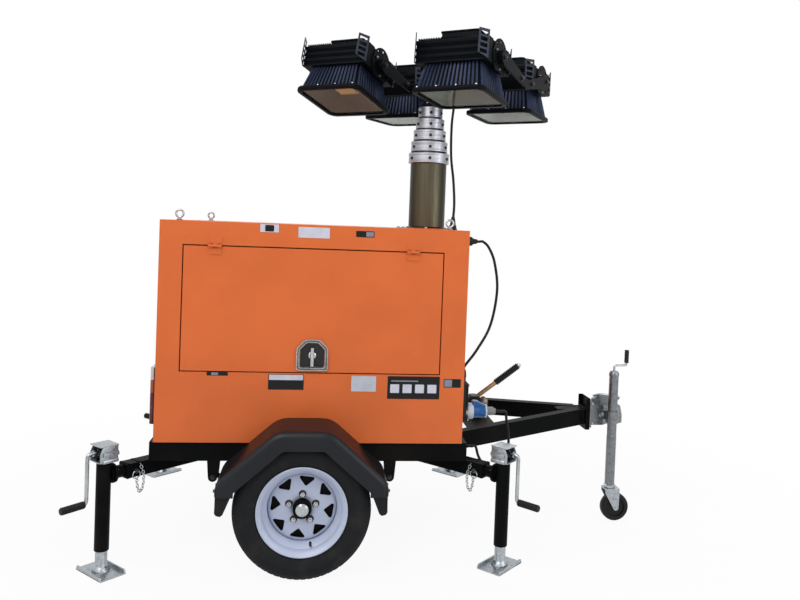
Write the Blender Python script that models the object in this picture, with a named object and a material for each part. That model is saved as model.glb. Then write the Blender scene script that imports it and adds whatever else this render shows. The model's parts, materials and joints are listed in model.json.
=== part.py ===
"""Mobile light tower: a two-wheel trailer with a generator box, a telescopic mast and four floodlights.

Metres, +Z up. Sizes are measured from the road axle: +X runs forward to the hitch and +Y to the
trailer's left. The finished model is shifted along X so that its origin is the middle of its box
on the ground.
"""

import math

import bmesh
import bpy
from mathutils import Matrix, Vector

# General fits
SEAT = 0.0003
PIN_PLAY = 0.0005
WHEEL_FACETS = 24
HUB_FACETS = 16
JACK_FACETS = 12
MAST_FACETS = 24

# Half width of the box: everything across the trailer is measured from it
BOX_HALF_WIDTH = 0.560

# Wheels: a 13 inch rim with five studs on a circle of 114.3 mm
TYRE_RADIUS = 0.2805
TYRE_WIDTH = 0.170
TYRE_BEAD_RADIUS = 0.166
RIM_LIP_RADIUS = 0.1825
RIM_WELL_RADIUS = 0.146
RIM_WALL = 0.005
RIM_DISC_DEPTH = 0.075
RIM_DISC_THICKNESS = 0.006
RIM_WINDOWS = 8
RIM_WINDOW_INNER = 0.098
RIM_WINDOW_OUTER = 0.128
WHEEL_CENTRE_Y = BOX_HALF_WIDTH + 0.1315
HUB_RADIUS = 0.034
HUB_LENGTH = 0.045
DRUM_RADIUS = 0.112
DRUM_DEPTH = 0.060
SPINDLE_RADIUS = 0.016

# Chassis frame, box sections
CHASSIS_REAR = -0.644
CHASSIS_FRONT = 0.705
CHASSIS_HALF_WIDTH = BOX_HALF_WIDTH - 0.010
CHASSIS_BOTTOM = 0.425
CHASSIS_HEIGHT = 0.080
BEAM_WIDTH = 0.050
CROSS_MEMBERS = (-0.380, 0.0, 0.370)
FLOOR_THICKNESS = 0.003

# Axle and leaf springs
AXLE_SECTION = 0.045
SPRING_Y = BOX_HALF_WIDTH - 0.038
SPRING_WIDTH = 0.044
SPRING_EYES_X = (-0.380, 0.370)
SPRING_EYE_RADIUS = 0.014
SPRING_LEAF = 0.007
SPRING_HALF_LENGTHS = (0.240, 0.150)
HANGER_LENGTH = 0.052
HANGER_PLATE = 0.005
HANGER_DROP = 0.090

# Outrigger arms and corner jacks
ARM_SECTION = 0.060
ARM_LENGTH = 0.560
JACK_FRONT_X = 0.850
JACK_REAR_X = -0.800
JACK_Y = BOX_HALF_WIDTH + 0.080
JACK_ARM_GAP = 0.085
JACK_TUBE_RADIUS = 0.029
JACK_TUBE_WALL = 0.004
JACK_TUBE_BOTTOM = 0.090
JACK_TUBE_TOP = 0.462
JACK_HEAD_TOP = 0.545
JACK_HEAD_SIDE = 0.078
JACK_HEAD_SHEET = 0.005
JACK_PIVOT_RADIUS = 0.026
JACK_FLANGE_RADIUS = 0.040
JACK_CRANK_DROP = 0.170
JACK_CRANK_ROD = 0.006
JACK_CRANK_REACH = 0.078
JACK_GRIP_LENGTH = 0.100
JACK_GRIP_RADIUS = 0.013
LEG_RADIUS = 0.0235
LEG_FREE_STROKE = 0.077
LEG_TOP = JACK_TUBE_TOP - LEG_FREE_STROKE
PAD_LENGTH = 0.210
PAD_WIDTH = 0.120
PAD_SHEET = 0.006
PAD_LIP = 0.018

# Drawbar, its front end measured back from the middle of the ball coupling
COUPLING_BALL_X = 1.590
RAIL_HEIGHT = 0.080
RAIL_WIDTH = 0.050
RAIL_BASE_Y = BOX_HALF_WIDTH - 0.160
RAIL_TIP_Y = 0.064
RAIL_TIP_X = COUPLING_BALL_X - 0.203
RAIL_BASE_Z = 0.435
RAIL_TIP_RISE = 0.030
NECK_FRONT = COUPLING_BALL_X - 0.174
PLATE_THICKNESS = 0.022
PLATE_HALF_WIDTH = 0.062
PLATE_BOTTOM = 0.440
PLATE_TOP = 0.600
BRAKE_MEMBER_X = 0.800
BRAKE_MEMBER_LENGTH = 0.105
# The brake lever and its grip: distance ahead of the cross member's back edge, height above its top
LEVER_Y = -0.050
LEVER_PATH = ((0.035, 0.081), (0.162, 0.179))
LEVER_RADIUS = 0.011
LEVER_GRIP_PATH = ((0.140, 0.162), (0.261, 0.255))
LEVER_GRIP_RADIUS = 0.017

# Coupling and jockey wheel
COUPLING_HALF_WIDTH = 0.048
COUPLING_BOTTOM = 0.462
COUPLING_TOP = 0.585
COUPLING_BALL_RADIUS = 0.025
COUPLING_CUP_RADIUS = 0.040
LATCH_BACK = COUPLING_BALL_X - 0.128
LATCH_OUTLINE = ((0, -0.004), (0.118, -0.004), (0.150, 0.030), (0.038, 0.040), (0.008, 0.026))
JOCKEY_X = COUPLING_BALL_X - 0.058
JOCKEY_Y = -0.124
JOCKEY_TUBE_RADIUS = 0.024
JOCKEY_TUBE_BOTTOM = 0.167
JOCKEY_TUBE_TOP = 0.745
JOCKEY_CLAMP_Z = 0.525
JOCKEY_CLAMP_HEIGHT = 0.060
JOCKEY_WHEEL_RADIUS = 0.070
JOCKEY_WHEEL_WIDTH = 0.044
JOCKEY_TRAIL = 0.028
JOCKEY_FORK_SHEET = 0.004

# Generator box
BOX_REAR = -0.627
BOX_FRONT = 0.680
BOX_TOP = 1.435
WALL = 0.020
DOOR_REAR = -0.527
DOOR_FRONT = 0.567
DOOR_BOTTOM = 0.808
DOOR_TOP = 1.331
DOOR_GAP = 0.005
HINGE_CENTRES = (-0.399, 0.4355)
HINGE_WIDTH = 0.055
HINGE_RADIUS = 0.006
HINGE_STANDOFF = 0.008
HINGE_LEAF = 0.003
HINGE_LEAF_HEIGHT = 0.030
LATCH_X = 0.019
LATCH_WIDTH = 0.130
LATCH_HEIGHT = 0.129
LATCH_PROUD = 0.006
LATCH_RECESS = 0.014
LOUVRE_HALF_WIDTH = BOX_HALF_WIDTH - 0.200
LOUVRE_BOTTOM = 0.700
LOUVRE_TOP = 1.260
LOUVRE_COUNT = 11
LOUVRE_SHEET = 0.004
LOUVRE_LENGTH = 0.044
EYEBOLT_Y = BOX_HALF_WIDTH - 0.060
EYEBOLT_RING = 0.0155
EYEBOLT_WIRE = 0.0045
EYEBOLT_HEIGHT = 0.028
EYEBOLT_FOOT = 0.005
EYEBOLT_FOOT_RADIUS = 0.011
ENGINE_REAR = -0.480
ENGINE_FRONT = 0.330
ENGINE_HALF_WIDTH = BOX_HALF_WIDTH - 0.310
ENGINE_HEIGHT = 0.560
TAIL_LAMP_Y = BOX_HALF_WIDTH - 0.090
TAIL_LAMP_WIDTH = 0.090
TAIL_LAMP_BOTTOM = 0.570
TAIL_LAMP_TOP = 0.810
TAIL_LAMP_DEPTH = 0.028
TAIL_LAMP_CORNER = 0.012

# Mudguards, measured from the tyre
GUARD_TOP = 2 * TYRE_RADIUS + 0.051
GUARD_HALF_FLAT = 0.110
GUARD_HALF_LENGTH = TYRE_RADIUS + 0.0655
GUARD_CORNER_Z = TYRE_RADIUS + 0.1245
GUARD_END_Z = TYRE_RADIUS + 0.0715
GUARD_OUTER_Y = BOX_HALF_WIDTH + 0.240
GUARD_SHEET = 0.004
GUARD_SKIRT = 0.075
GUARD_EDGE_RADIUS = 0.028
GUARD_BEND = 0.100
FLAP_BOTTOM = TYRE_RADIUS + 0.0155
FLAP_LAP = 0.030
FLAP_THICKNESS = 0.006

# Cable fittings on the front face and the roof
FITTING_Y = -BOX_HALF_WIDTH + 0.060
SOCKET_Y = -BOX_HALF_WIDTH + 0.110
SOCKET_Z = 1.388
SOCKET_RADIUS = 0.017
SOCKET_LENGTH = 0.035
TERMINAL_DEPTH = 0.020
TERMINAL_WIDTH = 0.060
TERMINAL_BOTTOM = 0.598
TERMINAL_TOP = 0.760
GLAND_RADIUS = 0.012
GLAND_LENGTH = 0.025
INLET_Z = 0.636
INLET_FLANGE_RADIUS = 0.036
INLET_BODY_RADIUS = 0.030
INLET_LENGTH = 0.137
ROOF_CABLE_X = 0.648
ROOF_CABLE_Y = -BOX_HALF_WIDTH + 0.260
CABLE_DIAMETER = 0.012
CHASSIS_GLAND_Y = -BOX_HALF_WIDTH + 0.110
CHASSIS_GLAND_Z = 0.465

# Telescopic mast
MAST_X = 0.565
MAST_SECTIONS = 6
MAST_BASE_RADIUS = 0.090
MAST_STEP = 0.010
MAST_TUBE_WALL = 0.004
COLLAR_FIRST_Z = 1.760
COLLAR_HEIGHT = 0.052
COLLAR_PITCH = 0.057
COLLAR_PROUD = 0.0115
MAST_FOOT_RISE = 0.012
MAST_FLANGE_RADIUS = 0.120
MAST_FLANGE_THICKNESS = 0.012

# Lamp head, turned about the mast
HEAD_YAW = -34.0
HEAD_POST_RADIUS = 0.034
HEAD_FLANGE_RADIUS = 0.052
HEAD_FLANGE_THICKNESS = 0.012
CROSSBAR_BOTTOM = 2.110
CROSSBAR_SECTION = 0.050
LAMP_OFFSET = 0.300
LAMP_AXIS_Z = 2.200
YOKE_INNER = 0.1935
YOKE_SHEET = 0.008
YOKE_BOSS_RADIUS = 0.036
CABLE_DROP_OFFSET = 0.126

# Floodlight, about its own tilt axis
LAMP_RIM_LENGTH = 0.350
LAMP_RIM_WIDTH = 0.340
LAMP_RIM_CORNER = 0.045
LAMP_RIM_DROP = 0.180
LAMP_RIM_THICKNESS = 0.020
LAMP_RIM_FACE = 0.018
LAMP_SKIRT_TOP_LENGTH = 0.262
LAMP_SKIRT_TOP_WIDTH = 0.236
LAMP_SINK_BOTTOM = -0.046
LAMP_SINK_TOP = 0.045
LAMP_SINK_LENGTH = 0.344
LAMP_SINK_WIDTH = 0.280
LAMP_FIN_HEIGHT = 0.022
LAMP_FIN_MARGIN = 0.006
LAMP_GROOVES = (-0.016, 0.014)
LAMP_GROOVE = 0.012
LAMP_DRIVER_LENGTH = 0.180
LAMP_DRIVER_WIDTH = 0.120
LAMP_DRIVER_TOP = 0.125
LAMP_TRUNNION_RADIUS = 0.088
LAMP_TRUNNION_DEPTH = 0.012
LAMP_WALL = 0.006
LAMP_GLASS = 0.005
LAMP_GLASS_RISE = 0.004
LAMP_SKIRT_INSET = 0.015
LAMP_RIB_DEPTH = 0.006

# Working values that several pieces share
CHASSIS_TOP = CHASSIS_BOTTOM + CHASSIS_HEIGHT
FLOOR_TOP = CHASSIS_TOP + SEAT + FLOOR_THICKNESS
ARM_Z = CHASSIS_BOTTOM - SEAT - ARM_SECTION / 2
INNER_HALF_WIDTH = BOX_HALF_WIDTH - WALL - SEAT
PANEL_BOTTOM = CHASSIS_TOP + SEAT
HINGE_Z = DOOR_TOP + 0.002
HINGE_Y = BOX_HALF_WIDTH + HINGE_STANDOFF
HEAD_Z = COLLAR_FIRST_Z + (MAST_SECTIONS - 1) * COLLAR_PITCH
COUPLING_BACK = NECK_FRONT + PLATE_THICKNESS + SEAT
COUPLING_FRONT = COUPLING_BALL_X + COUPLING_CUP_RADIUS
REAR_REACH = -JACK_REAR_X + (JACK_CRANK_REACH + JACK_GRIP_LENGTH + JACK_GRIP_RADIUS) * math.sqrt(0.5)
CENTRE_X = (REAR_REACH - COUPLING_FRONT) / 2

# The jacks: name, axle-relative x, side, heading of the arm in degrees
JACKS = (
    ("front_right", JACK_FRONT_X, -1, -45.0),
    ("front_left", JACK_FRONT_X, 1, 45.0),
    ("rear_right", JACK_REAR_X, -1, -135.0),
    ("rear_left", JACK_REAR_X, 1, 135.0),
)
# The floodlights: name, place along and across the crossbar, tilt in the stored position
LAMPS = (
    ("rear_right", -1, -1, 14.0),
    ("front_right", 1, -1, 5.0),
    ("front_left", 1, 1, -2.0),
    ("rear_left", -1, 1, 0.0),
)
SIDES = (("right", -1), ("left", 1))
# The lifting eyes' places along the roof
EYEBOLTS = (("rear", -0.557), ("front", 0.600))


def clear_scene():
    """Removes every object that the file starts with."""
    for item in list(bpy.data.objects):
        bpy.data.objects.remove(item, do_unlink=True)


def finish(name, colour, roughness, metallic=0.0):
    """A plain material: name, linear colour, roughness and metallic value."""
    material = bpy.data.materials.new(name)
    material.use_nodes = True
    shader = material.node_tree.nodes["Principled BSDF"]
    shader.inputs["Base Color"].default_value = (*colour, 1.0)
    shader.inputs["Roughness"].default_value = roughness
    shader.inputs["Metallic"].default_value = metallic
    return material


def solid_of(vertices, faces):
    """A bmesh from points and faces, with its normals pointing out."""
    solid = bmesh.new()
    points = [solid.verts.new(vertex) for vertex in vertices]
    for face in faces:
        solid.faces.new([points[index] for index in face])
    tidy(solid)
    return solid


def tidy(solid):
    """Merges doubled points, drops what collapsed and turns the faces outwards."""
    bmesh.ops.remove_doubles(solid, verts=solid.verts, dist=1e-6)
    loose = [edge for edge in solid.edges if not edge.link_faces]
    bmesh.ops.delete(solid, geom=loose, context="EDGES")
    bmesh.ops.recalc_face_normals(solid, faces=solid.faces)


def loft(rings, closed=False):
    """A solid through rings of equally many points, capped at its ends unless it closes on itself."""
    count = len(rings[0])
    vertices = [point for ring in rings for point in ring]
    faces = []
    for span in range(len(rings) if closed else len(rings) - 1):
        first = span * count
        second = (span + 1) % len(rings) * count
        for step in range(count):
            after = (step + 1) % count
            faces.append((first + step, first + after, second + after, second + step))
    if not closed:
        faces.append(tuple(range(count)))
        faces.append(tuple(range(len(vertices) - count, len(vertices))))
    return solid_of(vertices, faces)


def rectangle(half, low, high):
    """The (y, z) corners of a rectangle about the middle plane."""
    return [(-half, low), (half, low), (half, high), (-half, high)]


def box(low, high):
    """A block between two corners."""
    corners = [(low[0], low[1]), (high[0], low[1]), (high[0], high[1]), (low[0], high[1])]
    return loft([[(x, y, z) for x, y in corners] for z in (low[2], high[2])])


def prism(outline, axis, start, end):
    """An outline pushed along an axis: (y, z) along X, (x, z) along Y, (x, y) along Z."""
    place_point = {
        "X": lambda a, b, depth: (depth, a, b),
        "Y": lambda a, b, depth: (a, depth, b),
        "Z": lambda a, b, depth: (a, b, depth),
    }[axis]
    return loft([[place_point(a, b, depth) for a, b in outline] for depth in (start, end)])


def turned(profile, segments=32):
    """A solid of revolution about Z from a closed profile of (radius, height) points."""
    rings = []
    for step in range(segments):
        angle = math.tau * step / segments
        rings.append([(r * math.cos(angle), r * math.sin(angle), z) for r, z in profile])
    return loft(rings, closed=True)


def moved(solid, matrix):
    """The same solid, put through a matrix."""
    bmesh.ops.transform(solid, matrix=matrix, verts=solid.verts)
    return solid


def shifted(solid, *offset):
    """The same solid, moved by x, y and z."""
    return moved(solid, Matrix.Translation(offset))


def facing(start, end):
    """A matrix that takes Z to the direction from start to end, with its origin at start."""
    direction = Vector(end) - Vector(start)
    return Matrix.Translation(start) @ direction.to_track_quat("Z", "Y").to_matrix().to_4x4()


def rod(start, end, radius, segments=16, bore=0.0):
    """A round bar between two points, or a tube when it has a bore."""
    length = (Vector(end) - Vector(start)).length
    return moved(turned([(bore, 0), (radius, 0), (radius, length), (bore, length)], segments),
                 facing(start, end))


def arc(centre, radius, start, end, steps):
    """Points on an arc, from one angle to another in degrees."""
    angles = [math.radians(start + (end - start) * step / steps) for step in range(steps + 1)]
    return [(centre[0] + radius * math.cos(a), centre[1] + radius * math.sin(a)) for a in angles]


def rounded(length, width, radius, steps=2):
    """A rectangle about the origin with round corners."""
    x, y = length / 2 - radius, width / 2 - radius
    points = []
    for corner, (cx, cy) in enumerate(((x, y), (-x, y), (-x, -y), (x, -y))):
        points += arc((cx, cy), radius, 90 * corner, 90 * corner + 90, steps)
    return points


def combined(operation, first, others):
    """One solid from a boolean of the first with all the others."""
    collection = bpy.data.collections.new("operands")
    bpy.context.scene.collection.children.link(collection)
    made = []
    for solid in [first, *others]:
        mesh = bpy.data.meshes.new("operand")
        solid.to_mesh(mesh)
        solid.free()
        made.append(bpy.data.objects.new("operand", mesh))
    bpy.context.scene.collection.objects.link(made[0])
    for operand in made[1:]:
        collection.objects.link(operand)
    modifier = made[0].modifiers.new("boolean", "BOOLEAN")
    modifier.operation = operation
    modifier.operand_type = "COLLECTION"
    modifier.collection = collection
    modifier.solver = "EXACT"
    evaluated = made[0].evaluated_get(bpy.context.evaluated_depsgraph_get())
    result = bmesh.new()
    result.from_mesh(evaluated.to_mesh())
    evaluated.to_mesh_clear()
    for item in made:
        mesh = item.data
        bpy.data.objects.remove(item, do_unlink=True)
        bpy.data.meshes.remove(mesh)
    bpy.data.collections.remove(collection)
    tidy(result)
    return result


def union(first, *others):
    """Several overlapping solids joined into one."""
    return combined("UNION", first, others) if others else first


def cut(solid, *cutters):
    """A solid with the cutters taken out of it."""
    return combined("DIFFERENCE", solid, cutters)


def place(name, solid, material, pivot=(0.0, 0.0, 0.0)):
    """Puts a solid in the scene as one named object with its origin on its pivot."""
    mesh = bpy.data.meshes.new(name)
    shifted(solid, *(-value for value in pivot))
    solid.to_mesh(mesh)
    solid.free()
    mesh.materials.append(material)
    mesh.shade_smooth()
    mesh.set_sharp_from_angle(angle=math.radians(30))
    item = bpy.data.objects.new(name, mesh)
    item.location = Vector(pivot) + Vector((CENTRE_X, 0, 0))
    bpy.context.scene.collection.objects.link(item)
    return item


def smooth_route(points, spacing):
    """Points about one spacing apart on a smooth curve through the given points."""
    knots = [Vector(point) for point in points]
    knots = [2 * knots[0] - knots[1], *knots, 2 * knots[-1] - knots[-2]]
    dense = []
    for before, start, end, after in zip(knots, knots[1:], knots[2:], knots[3:]):
        for step in range(24):
            t = step / 24
            pull = (2 * start, (end - before) * t, (2 * before - 5 * start + 4 * end - after) * t**2)
            dense.append(0.5 * (pull[0] + pull[1] + pull[2] + (3 * start - before - 3 * end + after) * t**3))
    dense.append(knots[-2])
    lengths = [0.0]
    for first, second in zip(dense, dense[1:]):
        lengths.append(lengths[-1] + (second - first).length)
    count = max(2, round(lengths[-1] / spacing))
    route = [dense[0]]
    for step in range(1, count):
        wanted = lengths[-1] * step / count
        index = next(i for i, length in enumerate(lengths) if length >= wanted)
        share = (wanted - lengths[index - 1]) / (lengths[index] - lengths[index - 1])
        route.append(dense[index - 1].lerp(dense[index], share))
    return [*route, dense[-1]]


def straight(exit_point, direction):
    """The first points of a route, straight out of a gland."""
    heading = Vector(direction).normalized()
    return [exit_point + heading * CABLE_DIAMETER * step for step in (0, 2.7, 4)]


def place_cord(name, points, diameter, material):
    """A free cord as a round tube along its route."""
    curve = bpy.data.curves.new(name, "CURVE")
    curve.dimensions = "3D"
    curve.bevel_depth = diameter / 2
    curve.bevel_resolution = 2
    curve.use_fill_caps = True
    spline = curve.splines.new("POLY")
    route = smooth_route(points, 2.6 * diameter)
    spline.points.add(len(route) - 1)
    for knot, point in zip(spline.points, route):
        knot.co = (*point, 1.0)
    curve.materials.append(material)
    item = bpy.data.objects.new(name, curve)
    item.location = (CENTRE_X, 0, 0)
    bpy.context.scene.collection.objects.link(item)


def chassis_frame():
    """Ladder frame of box section with spring hangers."""
    half, bottom, top = CHASSIS_HALF_WIDTH, CHASSIS_BOTTOM, CHASSIS_TOP
    beams = [box((CHASSIS_REAR, side * half - BEAM_WIDTH * (side > 0), bottom),
                 (CHASSIS_FRONT, side * half + BEAM_WIDTH * (side < 0), top)) for _, side in SIDES]
    inside = half - BEAM_WIDTH / 2
    ends = (CHASSIS_REAR + BEAM_WIDTH / 2, CHASSIS_FRONT - BEAM_WIDTH / 2)
    for x in (*ends, *CROSS_MEMBERS):
        beams.append(box((x - BEAM_WIDTH / 2, -inside, bottom), (x + BEAM_WIDTH / 2, inside, top)))
    reach = SPRING_WIDTH / 2 + SEAT
    eye_z = spring_eye_z()
    for _, side in SIDES:
        for x in SPRING_EYES_X:
            outline = [(x - HANGER_LENGTH / 2, bottom + 0.01), (x + HANGER_LENGTH / 2, bottom + 0.01),
                       *arc((x, eye_z), SPRING_EYE_RADIUS + 0.006, 0, -180, 6)]
            outline = [outline[1], *outline[2:], outline[0]]
            for inner in (reach, -reach - HANGER_PLATE):
                y = side * SPRING_Y + inner
                beams.append(prism(outline, "Y", y, y + HANGER_PLATE))
    gland_start = (CHASSIS_FRONT - 0.01, CHASSIS_GLAND_Y, CHASSIS_GLAND_Z)
    gland_end = (CHASSIS_FRONT + GLAND_LENGTH / 2, CHASSIS_GLAND_Y, CHASSIS_GLAND_Z)
    return union(*beams, rod(gland_start, gland_end, GLAND_RADIUS))


def spring_eye_z():
    """Height of the spring eyes under the chassis."""
    return CHASSIS_BOTTOM - HANGER_DROP + SPRING_EYE_RADIUS + 0.006


def axle():
    """Square axle with spindles, brake backing plates and two leaf springs held by their clips."""
    half = AXLE_SECTION / 2
    drum_back = WHEEL_CENTRE_Y + TYRE_WIDTH / 2 - RIM_DISC_DEPTH - RIM_DISC_THICKNESS - DRUM_DEPTH
    backing = drum_back - 2 * PIN_PLAY
    pieces = [box((-half, -backing + 0.006, TYRE_RADIUS - half),
                  (half, backing - 0.006, TYRE_RADIUS + half))]
    top = TYRE_RADIUS + half
    eye_z = spring_eye_z()
    for _, side in SIDES:
        spindle_end = side * (drum_back + DRUM_DEPTH - SEAT)
        pieces.append(rod((0, side * (backing - 0.010), TYRE_RADIUS), (0, spindle_end, TYRE_RADIUS),
                          SPINDLE_RADIUS))
        pieces.append(rod((0, side * (backing - 0.012), TYRE_RADIUS), (0, side * backing, TYRE_RADIUS),
                          DRUM_RADIUS + 0.004))
        low, high = side * SPRING_Y - SPRING_WIDTH / 2, side * SPRING_Y + SPRING_WIDTH / 2
        pieces.append(prism(spring_outline(top - 0.001, eye_z), "Y", low, high))
        for x in SPRING_EYES_X:
            pieces.append(rod((x, low, eye_z), (x, high, eye_z), SPRING_EYE_RADIUS, 8))
        for x in (-half - 0.008, half + 0.008):
            for y in (low - 0.004, high + 0.004):
                pieces.append(rod((x, y, TYRE_RADIUS - half - 0.018), (x, y, top + 0.034), 0.005, 4))
        clip = 0.014
        pieces.append(box((-half - clip, low - 0.010, top + 0.019),
                          (half + clip, high + 0.010, top + 0.026)))
        pieces.append(box((-half - clip, low - 0.010, TYRE_RADIUS - half - 0.010),
                          (half + clip, high + 0.010, TYRE_RADIUS - half + 0.001)))
    return union(*pieces)


def spring_outline(base, eye_z):
    """Side outline of a leaf pack: each leaf bends to the eyes and the lower ones end short."""
    def centre_line(x):
        eye = SPRING_EYES_X[1] if x > 0 else SPRING_EYES_X[0]
        return (eye_z - base - 2 * SPRING_LEAF) * (x / eye) ** 2

    leaves = len(SPRING_HALF_LENGTHS)
    top_z = base + (leaves + 0.5) * SPRING_LEAF
    stations = [SPRING_EYES_X[0] + (SPRING_EYES_X[1] - SPRING_EYES_X[0]) * step / 8 for step in range(9)]
    upper = [(x, top_z + centre_line(x) + SPRING_LEAF / 2) for x in stations]
    steps = [SPRING_EYES_X[1], *SPRING_HALF_LENGTHS, *(-x for x in reversed(SPRING_HALF_LENGTHS)),
             SPRING_EYES_X[0]]
    lower = []
    for index, (start, end) in enumerate(zip(steps, steps[1:])):
        depth = min(index, len(steps) - 2 - index) * SPRING_LEAF
        middle = [(start + end) / 2] if index == leaves else []
        for x in (start, *middle, end):
            lower.append((x, top_z + centre_line(x) - SPRING_LEAF / 2 - depth))
    return upper + lower


def outrigger_arm(x, side, heading):
    """Square tube under the chassis corner that carries a jack."""
    direction = Matrix.Rotation(math.radians(heading), 4, "Z")
    half = ARM_SECTION / 2
    arm = box((-JACK_ARM_GAP - ARM_LENGTH, -half, ARM_Z - half), (-JACK_ARM_GAP, half, ARM_Z + half))
    return moved(arm, Matrix.Translation((x, side * JACK_Y, 0)) @ direction)


def jack_frame(x, side, heading):
    """A matrix from a jack's own frame, +X away from the trailer, to the trailer's."""
    return Matrix.Translation((x, side * JACK_Y, 0)) @ Matrix.Rotation(math.radians(heading), 4, "Z")


def jack_body():
    """Outer tube, swivel stub, folded head and hanging crank, in the jack's own frame."""
    tube_profile = [(JACK_TUBE_RADIUS - JACK_TUBE_WALL, JACK_TUBE_BOTTOM),
                    (JACK_TUBE_RADIUS, JACK_TUBE_BOTTOM),
                    (JACK_TUBE_RADIUS, JACK_TUBE_TOP), (0, JACK_TUBE_TOP), (0, JACK_TUBE_TOP - 0.02),
                    (JACK_TUBE_RADIUS - JACK_TUBE_WALL, JACK_TUBE_TOP - 0.02)]
    stub = rod((-JACK_ARM_GAP + SEAT, 0, ARM_Z), (-JACK_TUBE_RADIUS + 0.0035, 0, ARM_Z), JACK_PIVOT_RADIUS,
               JACK_FACETS)
    flange = rod((-JACK_TUBE_RADIUS - 0.014, 0, ARM_Z), (-JACK_TUBE_RADIUS + 0.0035, 0, ARM_Z),
                 JACK_FLANGE_RADIUS,
                 JACK_FACETS)
    half = JACK_HEAD_SIDE / 2
    head_bottom = JACK_TUBE_TOP - 0.012
    roof = box((-half, -half, JACK_HEAD_TOP - JACK_HEAD_SHEET), (half, half, JACK_HEAD_TOP))
    cheeks = [box((-half, y, head_bottom), (half, y + JACK_HEAD_SHEET, JACK_HEAD_TOP))
              for y in (-half, half - JACK_HEAD_SHEET)]
    floor = box((-half, -half, head_bottom), (half, half, head_bottom + JACK_HEAD_SHEET))
    shaft_z = (JACK_HEAD_TOP + JACK_TUBE_TOP) / 2
    barrel = rod((0, -half, shaft_z), (0, half, shaft_z), 0.017, 8)
    reach = JACK_CRANK_REACH
    crank_bottom = shaft_z - JACK_CRANK_DROP
    shaft = rod((0, 0, shaft_z), (reach, 0, shaft_z), 0.010, 8)
    arm = rod((reach - 0.006, 0, shaft_z + 0.006), (reach - 0.006, 0, crank_bottom - 0.006), JACK_CRANK_ROD,
              8)
    grip = rod((reach - 0.010, 0, crank_bottom), (reach + JACK_GRIP_LENGTH, 0, crank_bottom),
               JACK_GRIP_RADIUS, 10)
    return union(turned(tube_profile, JACK_FACETS), stub, flange, roof, *cheeks, floor, barrel, shaft, arm,
                 grip)


def jack_leg():
    """Inner leg with its foot pad and turned-up edges, in the jack's own frame."""
    pad = box((-PAD_WIDTH / 2, -PAD_LENGTH / 2, 0), (PAD_WIDTH / 2, PAD_LENGTH / 2, PAD_SHEET))
    lips = [box((x, -PAD_LENGTH / 2, 0), (x + PAD_SHEET, PAD_LENGTH / 2, PAD_LIP))
            for x in (-PAD_WIDTH / 2, PAD_WIDTH / 2 - PAD_SHEET)]
    bore = JACK_TUBE_RADIUS - JACK_TUBE_WALL - SEAT
    leg = turned([(0, 0.001), (LEG_RADIUS, 0.001), (LEG_RADIUS, LEG_TOP - 0.03), (bore, LEG_TOP - 0.03),
                  (bore, LEG_TOP), (0, LEG_TOP)], JACK_FACETS)
    collar = turned([(0, 0.001), (0.036, 0.001), (LEG_RADIUS - 0.001, 0.028), (0, 0.028)], JACK_FACETS)
    return union(pad, *lips, leg, collar)


def rail_slope(x):
    """Height gained by the drawbar at a place along it."""
    return RAIL_TIP_RISE * (x - CHASSIS_FRONT) / (RAIL_TIP_X - CHASSIS_FRONT)


def drawbar():
    """Two rails that meet at the nose, a cross member for the brake lever and the coupling plate."""
    start, end = CHASSIS_FRONT + SEAT, RAIL_TIP_X

    def bar(corners, thickness=RAIL_HEIGHT):
        low = [(x, y, RAIL_BASE_Z + rail_slope(x)) for x, y in corners]
        return loft([low, [(x, y, z + thickness) for x, y, z in low]])

    slant = math.hypot(end - start, RAIL_BASE_Y - RAIL_TIP_Y) / (end - start)
    inner = RAIL_WIDTH * slant
    rails = [bar([(start, side * RAIL_BASE_Y), (end, side * RAIL_TIP_Y), (end, side * (RAIL_TIP_Y - inner)),
                  (start, side * (RAIL_BASE_Y - inner))]) for _, side in SIDES]
    nose = bar([(end - 0.110, -RAIL_TIP_Y / 2), (end - 0.110, RAIL_TIP_Y / 2),
                (NECK_FRONT + 0.005, RAIL_TIP_Y / 2),
                (NECK_FRONT + 0.005, -RAIL_TIP_Y / 2)], RAIL_HEIGHT - 0.002)
    wide = bar([(end - 0.012, -RAIL_TIP_Y + 0.004), (end - 0.012, RAIL_TIP_Y - 0.004),
                (NECK_FRONT + 0.005, RAIL_TIP_Y - 0.012), (NECK_FRONT + 0.005, -RAIL_TIP_Y + 0.012)],
               RAIL_HEIGHT - 0.004)
    member_end = BRAKE_MEMBER_X + BRAKE_MEMBER_LENGTH
    gap = RAIL_BASE_Y - inner / 2 - (member_end - start) * (RAIL_BASE_Y - RAIL_TIP_Y) / (end - start)
    member = box((BRAKE_MEMBER_X, -gap, RAIL_BASE_Z + 0.012), (member_end, gap, brake_seat()))
    half = PLATE_HALF_WIDTH
    plate = box((NECK_FRONT, -half, PLATE_BOTTOM), (NECK_FRONT + PLATE_THICKNESS, half, PLATE_TOP))
    hollow = box((NECK_FRONT - 0.001, -half + 0.006, PLATE_TOP - 0.050),
                 (NECK_FRONT + PLATE_THICKNESS - 0.006, half - 0.006, PLATE_TOP + 0.001))
    return union(*rails, nose, wide, member, cut(plate, hollow))


def brake_seat():
    """Top of the cross member under the brake lever."""
    return RAIL_BASE_Z + RAIL_HEIGHT - 0.004


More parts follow.
